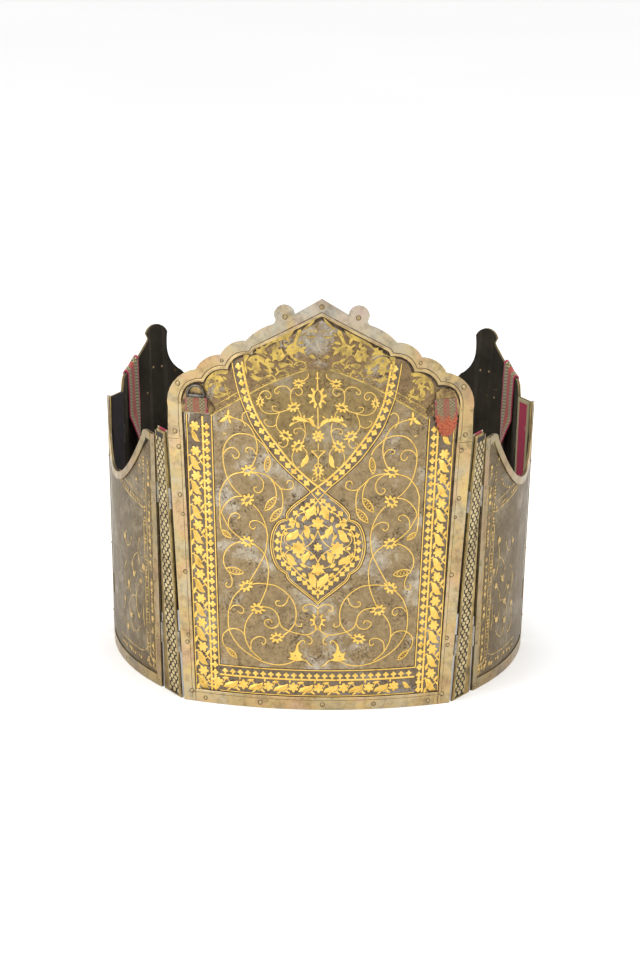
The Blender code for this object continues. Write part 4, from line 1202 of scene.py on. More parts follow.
# %% Flowers and leaves on the vines
for x, y, size, turn in ((-66, 229, 1.0, 20), (-66, 201, 1.0, 40), (-66, 161, 1.0, -20),
                         (-67, 118, 1.0, 35), (-56, 97, 1.0, -15), (-38, 69.5, 0.95, 10)):
    eyed_flower(vines, x, y, size, turn)
for start, end, width in (((-47, 244), (-49, 228), 5.4), ((-90, 170), (-81, 163.5), 4.6),
                          ((-34, 195), (-45, 181.5), 6.0), ((-39.5, 205.5), (-50, 191.5), 6.0),
                          ((-86, 133), (-69, 130.5), 6.4), ((-85, 56), (-75, 47), 4.6)):
    hatched_leaf(vines, start, end, width)
vines.leaves(
    "-92.5,273 -84,279.5 3.6 0.6; -84,286 -84.5,279 3; -88.5,279.5 -78.5,278 3; "
    "-81.5,272 -84,278 3; -16.4,51 -20.5,47 2.4")
vines.cut_leaf(route("!-28,49.6 -25,51 -25.4,54 !-26.4,57 -23,55.6 !-20.4,58.6 -20,61.6 "
                     "!-17.4,67.4 -17.6,61 -16.6,56.4 !-13.4,54.4 -15.4,51.6 !-12,49 -17,47.6 "
                     "-22.6,48"))
for sign in (-1, 1):
    vines.strike(DOT, sign * 20.6, 52.6, size=1.2, slot=1)
palmette = petals(9, 0, 1.3, 6.6, 90)[1:] + petals(9, 4.9, 0.9, 5.6, 90)
PALMETTE = make_punch("palmette", palmette + [(0, 8.6, 0.9)], 60)
vines.strike(PALMETTE, 0, 87, size=1.0, tall=1.2)
vines.leaf((0, 80.8), (0, 93.4), 6.6, 0, slot=1, height=EYE_HEIGHT)
vines.bent("field_vines", "front", FRONT, [GOLD, FIELD, GOLD_FOOT_SHADE_AND_DIRT])


# %% [markdown]
# The space between the collar's arms has a straight stem in the middle, with three small
# palmettes and a rosette on it, and finer scrolls on both sides.

# %% Stem and scrolls between the collar's arms
panel_gold = Layout()
for low, high in ((270.6, 291), (250.6, 257.6), (238.4, 243.2), (311, 321)):
    panel_gold.wire([(0, low), (0, high)], 1.0, both=False)
panel_gold.strike(PALMETTE, 0, 300.6, size=1.15, tall=1.25)
panel_gold.leaf((0, 293.6), (0, 307.4), 6.4, 0, slot=1, height=EYE_HEIGHT)
panel_gold.strike(PALMETTE, 0, 231.2, size=0.74, tall=1.2)
panel_gold.leaf((0, 227.6), (0, 235.0), 3.2, 0, slot=1, height=EYE_HEIGHT)
panel_gold.strike(ROSETTE, 0, 264.2, size=1.0)
panel_gold.strike(DOT, 0, 264.2, size=4.1, slot=1)
panel_gold.strike(DOT, 0, 264.2, size=1.3)
panel_gold.leaf((-2.6, 318.4), (2.6, 318.4), 1.6)
panel_gold.leaf((0, 320), (0, 325), 2.0)
panel_gold.wire(route("-0.2,238.5 -3.6,236.4"), 0.8)
panel_gold.wire(route("0,243.2 -2.4,246.4 -6.2,250"), 1.3)
panel_gold.wire(route("-1,250.2 -6.4,250.2"), 0.8)
panel_gold.wire(route("-0.6,224.4 -3.4,221.8 -5.6,223.2 -4.6,225"), 0.8, dot=0.7)
for text, dot in (
        ("0,271 -4.6,276.4 -8,279.2 -14,280.4 -22,279.6", 0),
        ("-7,277 -13,278.4 -19,277.2 -26,272.6", 0),
        ("-13,277 -12,272 -12,265 -14,259.6", 0),
        ("-12,268 -15,271 -19,271 -22,269 -21,266 -19,267", 0.8),
        ("-22,251 -24,243 -22,237 -19,234 -17,235", 0.8), ("-14,253 -11,250 -10,246", 0),
        ("-16,309 -22,308 -24,305 -24,296 -22.6,293", 0),
        ("-13,315 -10.4,317.4 -8.4,319.4 -8.2,321.6", 0.8),
        ("-18,311 -14,307 -15,303 -18,302 -20,304", 0.8),
        ("-24,305 -27,309 -33,310 -37,308 -39,305 -37,303 -35,305", 0.8),
        ("-25,289 -33,286 -40,284 -46,284 -51,287 -53,291 -53,300 -50,304 -46,305 -43,303 -43,299 "
         "-46,298 -47,300", 0.8),
        ("-33,286 -38,286 -41,288 -41,291 -38,291", 0.8), ("-18,288 -16,285 -15,281", 0),
        ("-35,285 -37,280 -38,275 -37,270 -32,266", 0),
        ("-38,274 -41,272 -45,272 -48,274 -49,277 -47,278", 0.8),
        ("-28,260 -28,256 -31,253 -35,254 -36,256.5 -34,257", 0.8)):
    panel_gold.wire(route(text), 0.78, dot=dot)
for x, y, size, turn in ((-17, 313.4, 0.76, 0), (-22, 291, 0.86, 20), (-29.6, 264, 0.92, -30),
                         (-18.6, 254.4, 0.98, 40), (-52.4, 294.4, 0.7, 80)):
    eyed_flower(panel_gold, x, y, size, turn)
panel_gold.leaves(
    "-2.4,272.4 -9.6,281.6 4.4 0.6; -8,277.6 -24.4,279.4 4.6 1.3; -7,280.6 -3.6,283.4 2; "
    "-13,280.6 -12,284 2.2; -18,280.6 -18,283.6 2.2; -10,247.6 -15.6,233.6 5.4 -0.9; "
    "-21,283 -22.6,277 2.4; -14.6,242.4 -9.4,239 2; -26.6,272.8 -22,277 2.2")
panel_gold.bent("panel_gold", "front", FRONT, [GOLD, PANEL, GOLD_FOOT_SHADE_AND_DIRT],
                lean=lambda y: ornament_lean(y) * 0.85)


# %% [markdown]
# The crest is crowded with broad split leaves, cut one by one from gold and laid on a dark
# ground. Their outlines are too free for a punch, so each is drawn as a closed line of its own,
# where a pair after an exclamation mark is a pointed tip or a notch.

# %% Leaves of the crest
CREST_LEAVES = [
    "!-22,363.4 -27,360.8 -34,357 -41,353.2 -46.6,349.6 -50,346.4 !-53.6,347 -53.4,344.4 "
    "!-57.6,344 -57,342 !-60.4,340.2 -55,340.2 !-51,339.8 -50,342.6 -47.6,345.6 -43,349 "
    "-37,351.4 -31,353.6 -26.4,356.6",
    "!-16.6,363.6 -19.4,362.4 -21,358.6 -22.4,354 -24.4,350.4 -28,348.4 -29.6,345.4 !-31.6,343.4 "
    "-29.4,341.6 !-31.6,338.8 -27.4,339.4 -25.6,336.8 !-23.4,335.6 -23.6,340 !-20.4,339 "
    "-19.6,342.4 -15.6,341.2 !-12,339 -13.6,343.8 -17.6,347 -20.4,349.4 -19.4,353.6 -17.6,357 "
    "-16,360",
    "!-46,346 -43.6,345.2 -42.6,341.4 !-45.6,339 -42.6,336.4 !-43.2,331.8 -39.4,334.4 "
    "!-36.6,333 -33.4,334.6 -31.6,338.6 -33,342.4 !-34.4,345.6 -36.4,344 !-36.6,349 -39.4,347 "
    "!-41.4,349.6 -41.8,346.4",
    "!-65.4,332.6 -62,336.6 -57,338 -51.6,336.4 -46.6,332.4 !-40.4,330.8 -41.4,327.4 -46,327.4 "
    "-51,329.6 -54.4,331.4 !-53.4,327.4 -55.2,325 !-54,321.6 -57.4,320.4 !-59.6,318.4 "
    "-59.4,322.6 !-62.6,324.6 -60.6,328.4 -62.4,331",
    "!-69,336.6 -66.4,338 !-63.4,337 -65.4,333.6 -66.4,329.4 -65.6,324.6 !-65.6,318.6 "
    "-67.4,323.6 -68.4,330",
    "!-104.6,301 -104.4,308 -101.4,314.4 -96,319.4 -90,322 !-82.6,322 -84,318.8 -91,318.2 "
    "-96.6,314.8 -100.4,309.4 !-101.6,301",
    "!-98.4,312.6 -95.4,316.4 -90.4,316.4 -87.4,313.6 !-86.4,311 -89.6,310.6 !-88.4,306.6 "
    "-91.4,305.4 -91.4,301.4 -93.6,298 -96.6,300.4 !-96.4,304.6 -94.4,306 !-97.4,308.4 "
    "-95.4,310.6",
    "!-86.4,310.4 -84.4,306.6 !-78.6,303.6 -82.6,303.4 !-79.4,299 -84.6,301.4 -86.4,305",
    "!-97,296.6 -90,299 !-78,303.6 -84,299 !-92,294.6",
    "!-15.4,363 -12,366.6 -8,370.2 !-3.2,375 -5.4,369.6 !-9.6,365.4 -13,363",
    "!-63.6,318 -59,318.4 !-50,317 -54.6,314 !-59,314.4",
    "!-38,330.6 -33,332.4 !-27,330.6 -31,328 !-35,326.6",
    "!-50,324.6 -46,325.4 !-41.6,323 -46,321.4",
    "!-13.6,359 -8,357 !-1.6,358 -8,354.8",
    "!-10,338.6 -6.4,340.4 !-3,337 -6.6,336.4",
]
crest_gold = Layout()
for text in CREST_LEAVES:
    crest_gold.cut_leaf(route(text))
crest_gold.wire(route("-44,333 -47.6,336.4 -52,339 -57,340 -62,338.6 -66,335 -68,329 "
                      "-67.4,322"), 0.9)
crest_gold.wire(route("-10.4,364 -7.6,361.4 -4.4,362.6 -2.2,360.8"), 1.1, dot=0.8)
crest_gold.leaves(
    "-30,357 -27,350 3; -38,352.5 -36,346 3; -45,348 -42,352 2.5; -52,343 -47,339 3; "
    "-20,350 -13,352 3; -18,345 -11,347 2.6; -24,337 -18,333 3; -30,340 -35,336 2.6; "
    "-44,335 -50,332 2.8; -58,328 -52,323 3; -62,321 -56,316 2.6; -40,328 -36,322 2.6; "
    "-97,309 -102,304 2.6; -88,316 -84,313 2.4; -92,302 -86,297 2.6; -66,327 -61,323 2.2; "
    "-28,332 -22,327 2.4; -33,326 -27,322 2; -16,357 -11,361 2.2; -27,346 -33,350 2.4; "
    "-48,329 -43,324 2.2", 1.15)
print(len(CREST_LEAVES), "broad leaves drawn for one half of the crest")


# %% [markdown]
# The crest's lower border has been rubbed away towards the middle, so only dashes are left of it,
# and all over the crest there are flecks of gold that outlived their leaf and scratches through
# leaves that did not. Chance places them, with a seed of its own, so that every run agrees.

# %% Rubbed border, flecks and scratches
crest_gold.wire(CREST_LINE, 1.2)
upper = [(x, y + 7.2) for x, y in CREST_LINE]
crest_gold.wire(upper[:5], 0.7)
chance = random.Random(4)
for row in (2.3, 4.8, 7.4):
    for x, y, heading in along_line(CREST_LINE, 3.9, 2.0 + row / 2):
        for sign in (1, -1):
            if chance.random() < (0.85 if x < -60 or row < 3 else 0.6):
                skew, half = chance.uniform(-0.4, 0.4), chance.uniform(0.9, 1.6)
                crest_gold.leaf((sign * (x - half), y + row - half * 0.44 + skew),
                                (sign * (x + half), y + row + half * 0.44 + skew),
                                chance.uniform(0.9, 1.5), 0, 8)
for curl in ("-40,320 -35,324 -30,323.6 -28,320.6 -31,318.6",
             "-50,316 -46,319.6 -41,318.4 -40,315.6 -43,315",
             "-23,330 -18,333.6 -12.4,331 -13,327 -17.4,326.6", "-56,313 -53,317 -49,316.6",
             "-92,294 -89,299 -84,299.4 -82,296.6 -84.4,294.6",
             "-30,336 -26,334 -24.4,331 -26,328.6", "-50,325 -46,323 -44.4,319.6 -47,318"):
    crest_gold.wire(route(curl), 1.1, dot=0.9)


def stroke(sign, x, y, far, turn, width, **kind):
    """A short fleck or scratch that leaves its place at an angle."""
    crest_gold.leaf((sign * x, y), (sign * (x + far * math.cos(turn)), y + far * math.sin(turn)),
                    width, 0, 8, **kind)


for step in range(150):
    x = -chance.uniform(1, 104) * (1 if step % 3 else 0.2)
    if -82 < x < -66:
        continue
    low = 327 - max(0, -x - 8) * 0.44
    y = low + chance.uniform(2, 12 if step % 3 else 40)
    turn = chance.uniform(0, math.pi)
    far = chance.uniform(0.8, 2.0)
    sign = chance.choice((-1, 1))
    stroke(sign, x, y, far, turn, chance.uniform(0.6, 1.3))
for step in range(230):
    x, turn = -chance.uniform(4, 104), chance.uniform(0, math.pi)
    if -82 < x < -66:
        continue
    y = chance.uniform(330 - max(0, -x - 8) * 0.44, 376 + x * 0.52)
    far, sign = chance.uniform(1.2, 3.6), chance.choice((-1, 1))
    stroke(sign, x, y, far, turn, chance.uniform(0.5, 1.0), slot=1, height=EYE_HEIGHT)
for x, y, size in ((-24.2, 346.6, 0.42), (-57.6, 333.6, 0.5), (-38, 340.4, 0.4),
                   (-93, 311.4, 0.45)):
    for sign in (1, -1):
        crest_gold.strike(DOT, sign * x, y, size=size * 4, slot=1)
crest_gold.bent("crest_gold", "front", FRONT, [CREST_GOLD, CREST_GROUND, GOLD_FOOT_SHADE_AND_DIRT],
                lean=lambda y: ornament_lean(y) * 0.4)


# %% [markdown]
# Every band is held by brass rivets with domed heads. A real head is struck round in a hollow
# tool, and a dark ring shows round its foot. Here each head is half a ball pressed
# flat, on a thin dark washer, and all the rivets of one body are joined into one piece.

# %% Rivets
RIM_FACE = PLATE / 2 + GAP + BAND
WASHER_EXTRA, WASHER_LIFT, HEAD_FLATNESS = 0.55, 0.00006, 0.55


def add_rivet(shape, form, across, height, out, radius=1.6, side=1):
    """Side is 1 for a head on the outer face and -1 for one on the inner face."""
    place = form.at(across, height, out)
    turn = (form.outward(across, height) * side).to_track_quat("Z", "Y").to_matrix().to_4x4()
    seat = Matrix.Translation(place) @ turn
    bmesh.ops.create_uvsphere(shape, u_segments=12, v_segments=8, radius=radius * MM,
                              matrix=seat @ Matrix.Diagonal((1, 1, HEAD_FLATNESS, 1)))
    ring = bmesh.ops.create_circle(shape, cap_ends=True, segments=14,
                                   radius=(radius + WASHER_EXTRA) * MM,
                                   matrix=seat @ Matrix.Translation((0, 0, WASHER_LIFT)))
    for face in {face for vert in ring["verts"] for face in vert.link_faces}:
        face.material_index = 1


FRONT_RIVETS = [(0, 384.4, 1.9), (33, 374.4, 1.9), (90, 331, 1.3), (130.6, 306, 2.0),
                (133.2, 260.3, 1.9), (129.6, 246, 1.9), (128.6, 200, 1.8), (125.7, 182, 1.2),
                (123.6, 126.3, 1.8), (121.6, 57.6, 1.6), (120.6, 64.9, 1.6), (117.2, 9.8, 1.9),
                (52.8, 5.2, 1.8), (104.2, 4.4, 1.6)]
rivets = bmesh.new()
for x, height, radius in FRONT_RIVETS:
    for sign in ((1, -1) if x else (1,)):
        half = FRONT.width(height * MM) / 2
        add_rivet(rivets, FRONT, half + sign * x * MM, height * MM, RIM_FACE, radius)
add_rivet(rivets, FRONT, FRONT.width(0.005) / 2 + 0.0052, 0.0052, RIM_FACE, 1.8)
finish_piece(rivets, "front_rivets", "front", [RIVET_BRASS, DARK_RING])
for side in ("left", "right"):
    form = SIDES[side]
    rivets = bmesh.new()
    for height in (5, 48, 62, 126, 186, 202, 240):
        add_rivet(rivets, form, 0.0058, height * MM, RIM_FACE, 1.1)
    for share in (0.22, 0.5, 0.78):
        add_rivet(rivets, form, form.width(0.005) * share, 0.0052, RIM_FACE, 1.1)
    for height in (30, 100, 190):
        add_rivet(rivets, form, form.width(height * MM) - 0.0058, height * MM, RIM_FACE, 1.1)
    finish_piece(rivets, "side_rivets_" + side, "side_" + side, [RIVET_BRASS, DARK_RING])
    form = HALVES[side]
    rivets = bmesh.new()
    for height in (8, 60, 120, 180):
        add_rivet(rivets, form, 0.0062, height * MM, RIM_FACE, 1.2)
        add_rivet(rivets, form, form.width(height * MM) - 0.0048, height * MM, RIM_FACE, 1.2)
    for share in (0.3, 0.6):
        add_rivet(rivets, form, form.width(0.005) * share, 0.0052, RIM_FACE, 1.2)
    for across, height in ((0.058, 0.262), (0.068, 0.262), (0.094, 0.236), (0.050, 0.236)):
        add_rivet(rivets, form, across, height, -PLATE_FACE, 0.9, -1)
    finish_piece(rivets, "half_rivets_" + side, "half_" + side, [RIVET_BRASS, DARK_RING])
print("rivets set")


# %% [markdown]
# The narrow plates between the front and the sides are brass, pressed with a net of small scales
# on a dark ground. A plain flange runs along one edge and a finely dotted one along the other. A
# scale is an eight-sided disc raised in three steps, and rows of three and two take turns. The
# solid plate below is made of flat faces, so each place is laid on those faces along a ray. On
# the ideal form, thin work like this would sink into the plate here and there.

# %% Scales of the narrow plates
SCALE_ROW, DOT_ROW, DOT_COLUMN = 4.05, 2.4, 2.3


def make_scale():
    """A scale with a dark foot (slot 1) and a raised crown."""
    shape = bmesh.new()
    bmesh.ops.create_circle(shape, cap_ends=True, segments=8, radius=1)
    bmesh.ops.rotate(shape, verts=shape.verts[:], cent=(0, 0, 0),
                     matrix=Matrix.Rotation(math.radians(22.5), 3, "Z"))
    bmesh.ops.scale(shape, verts=shape.verts[:], vec=(3.25, 2.6, 1))
    bmesh.ops.translate(shape, verts=shape.verts[:], vec=(0, 0, -0.1))
    for thickness, depth in ((0.40, 0.12), (0.25, 0.26), (0.70, 0.16)):
        top = max(shape.faces, key=lambda face: face.calc_center_median().z)
        bmesh.ops.inset_individual(shape, faces=[top], thickness=thickness, depth=depth)
    for face in shape.faces:
        if max(vert.co.z for vert in face.verts) < 0.2:
            face.material_index = 1
    return as_mesh(shape, "scale")


SCALE = make_scale()
for where, top in (("front", 257), ("rear", 248)):
    for side in ("left", "right"):
        form = GUSSETS[where, side]
        scales = Layout()
        wide = form.width(0.12) / MM
        low, high = (9.5, wide - 10.0) if where == "front" else (10.0, wide - 9.5)
        middle, pitch = (low + high) / 2, (high - low + 6.8) / 2.45
        for row in range(int((top - 9) / SCALE_ROW)):
            for place in ((-0.5, 0.5) if row % 2 else (-1, 0, 1)):
                size, tall = (0.5, 2.0) if abs(place) == 1 else (1.0, 1.0)
                scales.strike(SCALE, middle + place * pitch, 5 + SCALE_ROW * row, size=size,
                              tall=tall)
        left, right = low - 3.4, high + 3.4
        sheet_of(scales, [(left, 1.5), (right, 1.5), (right, top - 2.5), (left, top - 2.5)], 1)
        edge = 2.6 if where == "front" else wide - 6.4
        for row in range(int((top - 4) / DOT_ROW)):
            for column in range(2):
                x = edge + 1.2 + DOT_COLUMN * column + 0.6 * (row % 2)
                scales.strike(DOT, x, 3 + DOT_ROW * row, size=0.62)
        for x in (low - 3.9, high + 3.9):
            scales.wire([(x, 2.0 + (top - 4) * step / 4) for step in range(5)], 0.9, False)
        plate = bmesh.new()
        plate.from_mesh(nodes[f"{where}_gusset_{side}"].data)
        scales.bent(f"scales_{where}_{side}", f"gusset_{where}_{side}", form,
                    [SCALE_BRASS, SCALE_GROUND, SCALE_GROUND], start=0.0, proud=0.06, rows=8.0,
                    carrier=BVHTree.FromBMesh(plate))
        plate.free()


# %% [markdown]
# The side plates carry the same kind of gold, but most of it has been rubbed away. A column of
# small florets runs beside the front band, with a thin line, and a few scrolls are left behind
# them. A duller gold and some missing marks tell that story.

# %% Worn gold of a side plate
WORN_FINISHES = [WORN_GOLD, SIDE_STEEL, GOLD_FOOT_SHADE_AND_DIRT]


def wear_side(side, chance):
    """What is left of the gold on a side plate, with some marks gone by chance."""
    form = SIDES[side]
    worn = Layout()
    for step in range(30):
        y = 16 + 7.0 * step
        if chance.random() < 0.82:
            worn.strike(FIVE_PETALS, 17.2 + chance.uniform(-0.6, 0.6), y,
                        turn=chance.uniform(0, 72), size=chance.uniform(0.6, 0.95))
        if chance.random() < 0.6:
            worn.leaf((14.4, y + 2), (18.8 + chance.uniform(-1, 1), y + 5.4), 1.6)
        for up in (0.0, 3.5):
            if chance.random() < 0.8:
                worn.strike(TREFOIL, 26.2, y + up, turn=90, size=chance.uniform(0.42, 0.6))
    for x, low, pitch, thick in ((12.2, 13, 38, 0.7), (23.0, 24, 35, 0.7), (29.6, 30, 26, 0.8)):
        worn.wire([(x, low + pitch * step) for step in range(6)], thick, False)
    slope = route("29.6,172 46,174.6 62,177.4 78,180.6 92,184")
    worn.wire(slope, 1.15, False)
    worn.wire([(x, y + 10) for x, y in slope], 0.7, False)
    for x, y, heading in along_line([(x, y + 4) for x, y in slope], 4.6, 2.0):
        if chance.random() < 0.85:
            worn.strike(TREFOIL, x, y, turn=math.degrees(heading), size=0.62)
    for x, y, heading in along_line(route("31,224 36,208 44,196 56,190 70,189 82,193"), 6.0):
        if chance.random() < 0.7:
            worn.strike(FIVE_PETALS, x, y, turn=chance.uniform(0, 72),
                        size=chance.uniform(0.4, 0.7))
    worn.wire(route("29.6,31 36,27 56,25 84,25 104,25"), 0.8, False)
    for x in range(14, 100, 5):
        if chance.random() < 0.85:
            worn.strike(FIVE_PETALS, x, 18.5 + chance.uniform(-1, 1),
                        size=chance.uniform(0.5, 0.85))
    for x, y in route("15,15 19,22 24,16 17,29 22.5,25.5 27,21 14,22"):
        worn.leaf((x - 2.6, y - 2), (x + 2.6, y + 2.4), 2.8)
    for text in ("40,140 44,128 42,114 36,106 33,112", "44,124 54,118 60,108 56,100 50,104",
                 "60,136 66,126 76,124 80,132 74,138", "42,96 50,84 52,70 46,60 40,66",
                 "52,78 64,74 72,64 68,54 61,58", "76,108 84,98 84,84 76,78 72,86",
                 "84,64 90,54 88,42 80,38 76,45", "44,50 52,42 62,40 66,47",
                 "66,92 70,84 67,77", "34,78 36,64 34,52"):
        worn.wire(route(text), 0.75, False, dot=0.8)
    for x, y in route("42,141 33,112 56,99 80,131 46,60 67,54 72,86 86,66 64,74 40,96 78,39 "
                      "60,108"):
        if chance.random() < 0.9:
            worn.strike(SIX_PETALS, x, y, turn=chance.uniform(0, 72),
                        size=chance.uniform(0.6, 0.85))
    worn.bent("worn_gold_" + side, "side_" + side, form, WORN_FINISHES, start=0.0)


print("each side plate keeps about four marks in five")


# %% [markdown]
# The two rear halves get the same worn work: a border down each end, a double line along the foot
# with trefoils in it, and three groups of scrolls. Their outer faces turn away from the usual
# view, so the pattern is kept simple. One random source per side serves both of its plates.

# %% Worn gold of the halves
def wear_half(side, chance):
    """What is left of the gold on a rear half."""
    form = HALVES[side]
    wide = form.width(0.1) / MM
    worn = Layout()
    for x in (13.5, wide - 13):
        worn.wire([(x, 15 + 178 * step / 5) for step in range(6)], 0.9, False)
    for y in (15, 24):
        worn.wire([(13.5 + (wide - 26.5) * step / 12, y) for step in range(13)], 0.9, False)
    worn.wire([(22, 24 + 166 * step / 5) for step in range(6)], 0.9, False)
    for step in range(24):
        if chance.random() < 0.8:
            worn.strike(SIX_PETALS if step % 3 == 0 else FIVE_PETALS, 17.7, 20 + 7.2 * step,
                        size=0.62, turn=chance.uniform(0, 60))
    x = 26.0
    while x < wide - 16:
        if chance.random() < 0.85:
            worn.strike(TREFOIL, x, 19.4, size=0.72)
        x += 7.2
    for left in (34, 74, 114):
        for text in ("8,40 14,58 12,76 2,84 -4,76 2,70", "13,66 24,72 30,86 24,98 16,92",
                     "24,98 18,112 20,128 30,134 36,126", "20,122 8,126 2,140 8,150 15,145",
                     "14,50 26,52 32,44 26,38"):
            worn.wire([(x + left, y) for x, y in route(text)], 0.85, False, dot=0.9)
        for x, y in route("12,78 26,70 22,100 32,134 8,126 26,50"):
            worn.strike(LOBES, x + left, y, turn=chance.uniform(0, 50), size=0.8)
    worn.bent("worn_gold_half_" + side, "half_" + side, form, WORN_FINISHES, start=0.0)


for side, seed in (("left", 11), ("right", 23)):
    chance = random.Random(seed)
    wear_side(side, chance)
    wear_half(side, chance)


# %% [markdown]
# Now the cloth. The narrow plates are lined with crimson velvet, edged with a woven braid. The
# pile is finer than anything a mesh can hold, so the velvet is a thin sheet that swells a little,
# and its nap is left to the material. The outer millimetres of each sheet are the braid, whose
# dotted pattern follows the sheet's own map in millimetres.

# %% Linings of velvet and braid
BRAID = woven_braid()
LINING_WALL, LINING_SEAT = 0.0012, 0.00072
LINING_FOOT, BRAID_WIDTH, TOP_BRAID = 0.3, 3.4, 5.0
MIDDLE_HEIGHT = 0.125
KNUCKLE_ROOM, EDGE_ROOM = 4.6, 3.0


def flat_map(shape, places):
    """A map in millimetres: for each vertex, how far it is across and along the cloth."""
    layer = shape.loops.layers.uv.new("cloth")
    for face in shape.faces:
        for loop in face.loops:
            loop[layer].uv = places[loop.vert.index]


def cloth_piece(shape, name, body, finishes, wall):
    """A sheet of cloth with its wall and a soft edge."""
    piece = finish_piece(shape, name, body, finishes, 60)
    thick = piece.modifiers.new("thickness", "SOLIDIFY")
    thick.thickness = wall
    thick.offset = 0
    soft = piece.modifiers.new("soft_edge", "BEVEL")
    soft.width = wall * 0.3
    soft.segments = 2
    soft.limit_method = "ANGLE"
    soft.angle_limit = math.radians(50)
    return piece


for where, top in (("front", 259), ("rear", 248)):
    for side in ("left", "right"):
        form = GUSSETS[where, side]
        inset = KNUCKLE_ROOM if where == "front" else EDGE_ROOM
        wide = form.width(MIDDLE_HEIGHT) / MM - inset - EDGE_ROOM
        tall = top - 0.6
        shape = bmesh.new()
        bmesh.ops.create_grid(shape, x_segments=18, y_segments=70, size=0.5)
        shape.verts.index_update()
        places = [((vert.co.x + 0.5) * wide, (vert.co.y + 0.5) * tall) for vert in shape.verts]
        flat_map(shape, places)
        for face in shape.faces:
            middle = face.calc_center_median()
            aside = (0.5 - abs(middle.x)) * wide
            below = (0.5 - middle.y) * tall
            trimmed = aside < BRAID_WIDTH or (below < TOP_BRAID and where == "rear")
            face.material_index = 1 if trimmed else 0
        chance = random.Random(5)
        for vert, (x, y) in zip(shape.verts, places):
            aside = min(x, wide - x)
            swell = 0.10 if aside < 3.5 else 0.32
            wave = 0.10 * math.sin(y * 0.11 + x * 0.2) + chance.uniform(-0.04, 0.04)
            height = (y + LINING_FOOT) * MM
            start = inset * MM + (form.width(height) - form.width(MIDDLE_HEIGHT)) / 2
            out = -PLATE / 2 - GAP - LINING_SEAT - (swell + wave) * 0.4 * MM
            vert.co = form.at(start + x * MM, height, out)
        name = f"lining_{where}_{side}"
        # The left rear lining and its braid are near black: painted shade.
        in_painted_shade = where == "rear" and side == "left"
        cloths = [VELVET_PAINTED_SHADE, VELVET_PAINTED_SHADE] if in_painted_shade else [VELVET, BRAID]
        lining = cloth_piece(shape, name, f"gusset_{where}_{side}", cloths, LINING_WALL)
        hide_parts(f"{where}_gusset_lining_{side}")
        print(name, round(wide, 1), "by", tall, "mm")


# %% [markdown]
# The two shoulder straps are woven in one piece: crimson edges, side stripes of cream and green
# with dark dots, and a red herringbone in the middle. Each is folded over the upper edge of its
# half and hangs down inside, turning as it falls. The path is the one that the solid strap takes,
# sampled more finely, with a little ripple.

# %% Woven straps
WEBBING_FINISH = woven_strap("strap_weave", False)
WORN_WEBBING = woven_strap("worn_weave", True)
WEBBING, WOVEN_WALL = 0.0016, 0.0013
STRAP_WIDTH = 20.0
LAP, HANG, SWING, TWIST = 0.034, 0.098, 0.0020, math.radians(62)
HORN_SHOULDER = 0.306
EDGE_START = 0.002, 0.248
EDGE_SHARES = (0.033, 0.11), (0.115, 0.26), (0.205, 0.60), (0.228, 0.74)
Fold = namedtuple("Fold", "drop out turn")


def strap_folds():
    """Where the strap runs: how far below the edge, how far out of the plate, how far turned."""
    outside = PLATE / 2 + GAP + BAND + GAP + WEBBING / 2
    inside = -PLATE / 2 - GAP - WEBBING / 2
    centre, radius = (outside + inside) / 2, (outside - inside) / 2
    folds = [Fold(LAP * (1 - step / 12), outside, 0.0) for step in range(12)]
    for step in range(17):
        angle = math.pi * step / 16
        folds.append(Fold(-radius * math.sin(angle), centre + radius * math.cos(angle), 0.0))
    for step in range(1, 43):
        hung = step / 42
        turn = TWIST * max(0, hung - 0.45) / 0.55
        away = inside - SWING * hung - STRAP_WIDTH * MM / 2 * math.sin(turn)
        folds.append(Fold(HANG * hung, away, -turn))
    return folds


def edge_height(across):
    """The height of a half's upper edge, under the strap."""
    chest = HALVES["right"].width(CHEST_HEIGHT)
    rise = HORN_SHOULDER - CHEST_HEIGHT
    corners = [EDGE_START] + [(x * chest, CHEST_HEIGHT + y * rise) for x, y in EDGE_SHARES]
    for (ax, ay), (bx, by) in zip(corners, corners[1:]):
        if ax <= across <= bx:
            return ay + (by - ay) * (across - ax) / (bx - ax)
    return corners[0][1]


def lay_strap(name, form, folds, middle, top, body, node, finish, ragged=0.0, worn=1.0):
    """Cloth on its folds. Ragged is how far its loose end is frayed, in millimetres."""
    rows = len(folds) - 1
    shape = bmesh.new()
    bmesh.ops.create_grid(shape, x_segments=10, y_segments=rows, size=0.5)
    shape.verts.index_update()
    walked = [0.0]
    for a, b in zip(folds, folds[1:]):
        walked.append(walked[-1] + math.hypot(a.drop - b.drop, a.out - b.out) / MM)
    chance = random.Random(name)
    spots = [(vert.co.x * STRAP_WIDTH, round((0.5 - vert.co.y) * rows)) for vert in shape.verts]
    flat_map(shape, [(x, walked[row]) for x, row in spots])
    for vert, (x, row) in zip(shape.verts, spots):
        fold = folds[row]
        share = row / rows
        narrow = 1 - (1 - worn) * max(0, 2 * share - 1) ** 1.5
        fray = ragged * chance.random() * max(0, share - 0.7) / 0.3
        ripple = 0.12 * math.sin(walked[row] * 0.19 + x * 0.15) * MM
        torn = math.sin(walked[row] * 1.3 + (2 if x > 0 else 0))
        aside = x * MM * narrow * (1 + 0.045 * ragged * share * torn)
        across = middle + aside * math.cos(fold.turn)
        out = fold.out - aside * math.sin(fold.turn) + ripple * min(1, share * 3)
        vert.co = form.at(across, top(across) - fold.drop + fray * MM, out)
    piece = cloth_piece(shape, name, body, [finish], WOVEN_WALL)
    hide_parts(node)
    print(name, STRAP_WIDTH, "by", round(walked[-1]), "mm")
    return piece


for side in ("left", "right"):
    lay_strap("woven_strap_" + side, HALVES[side], strap_folds(), 0.027, edge_height,
              "half_" + side, "strap_" + side, WEBBING_FINISH)


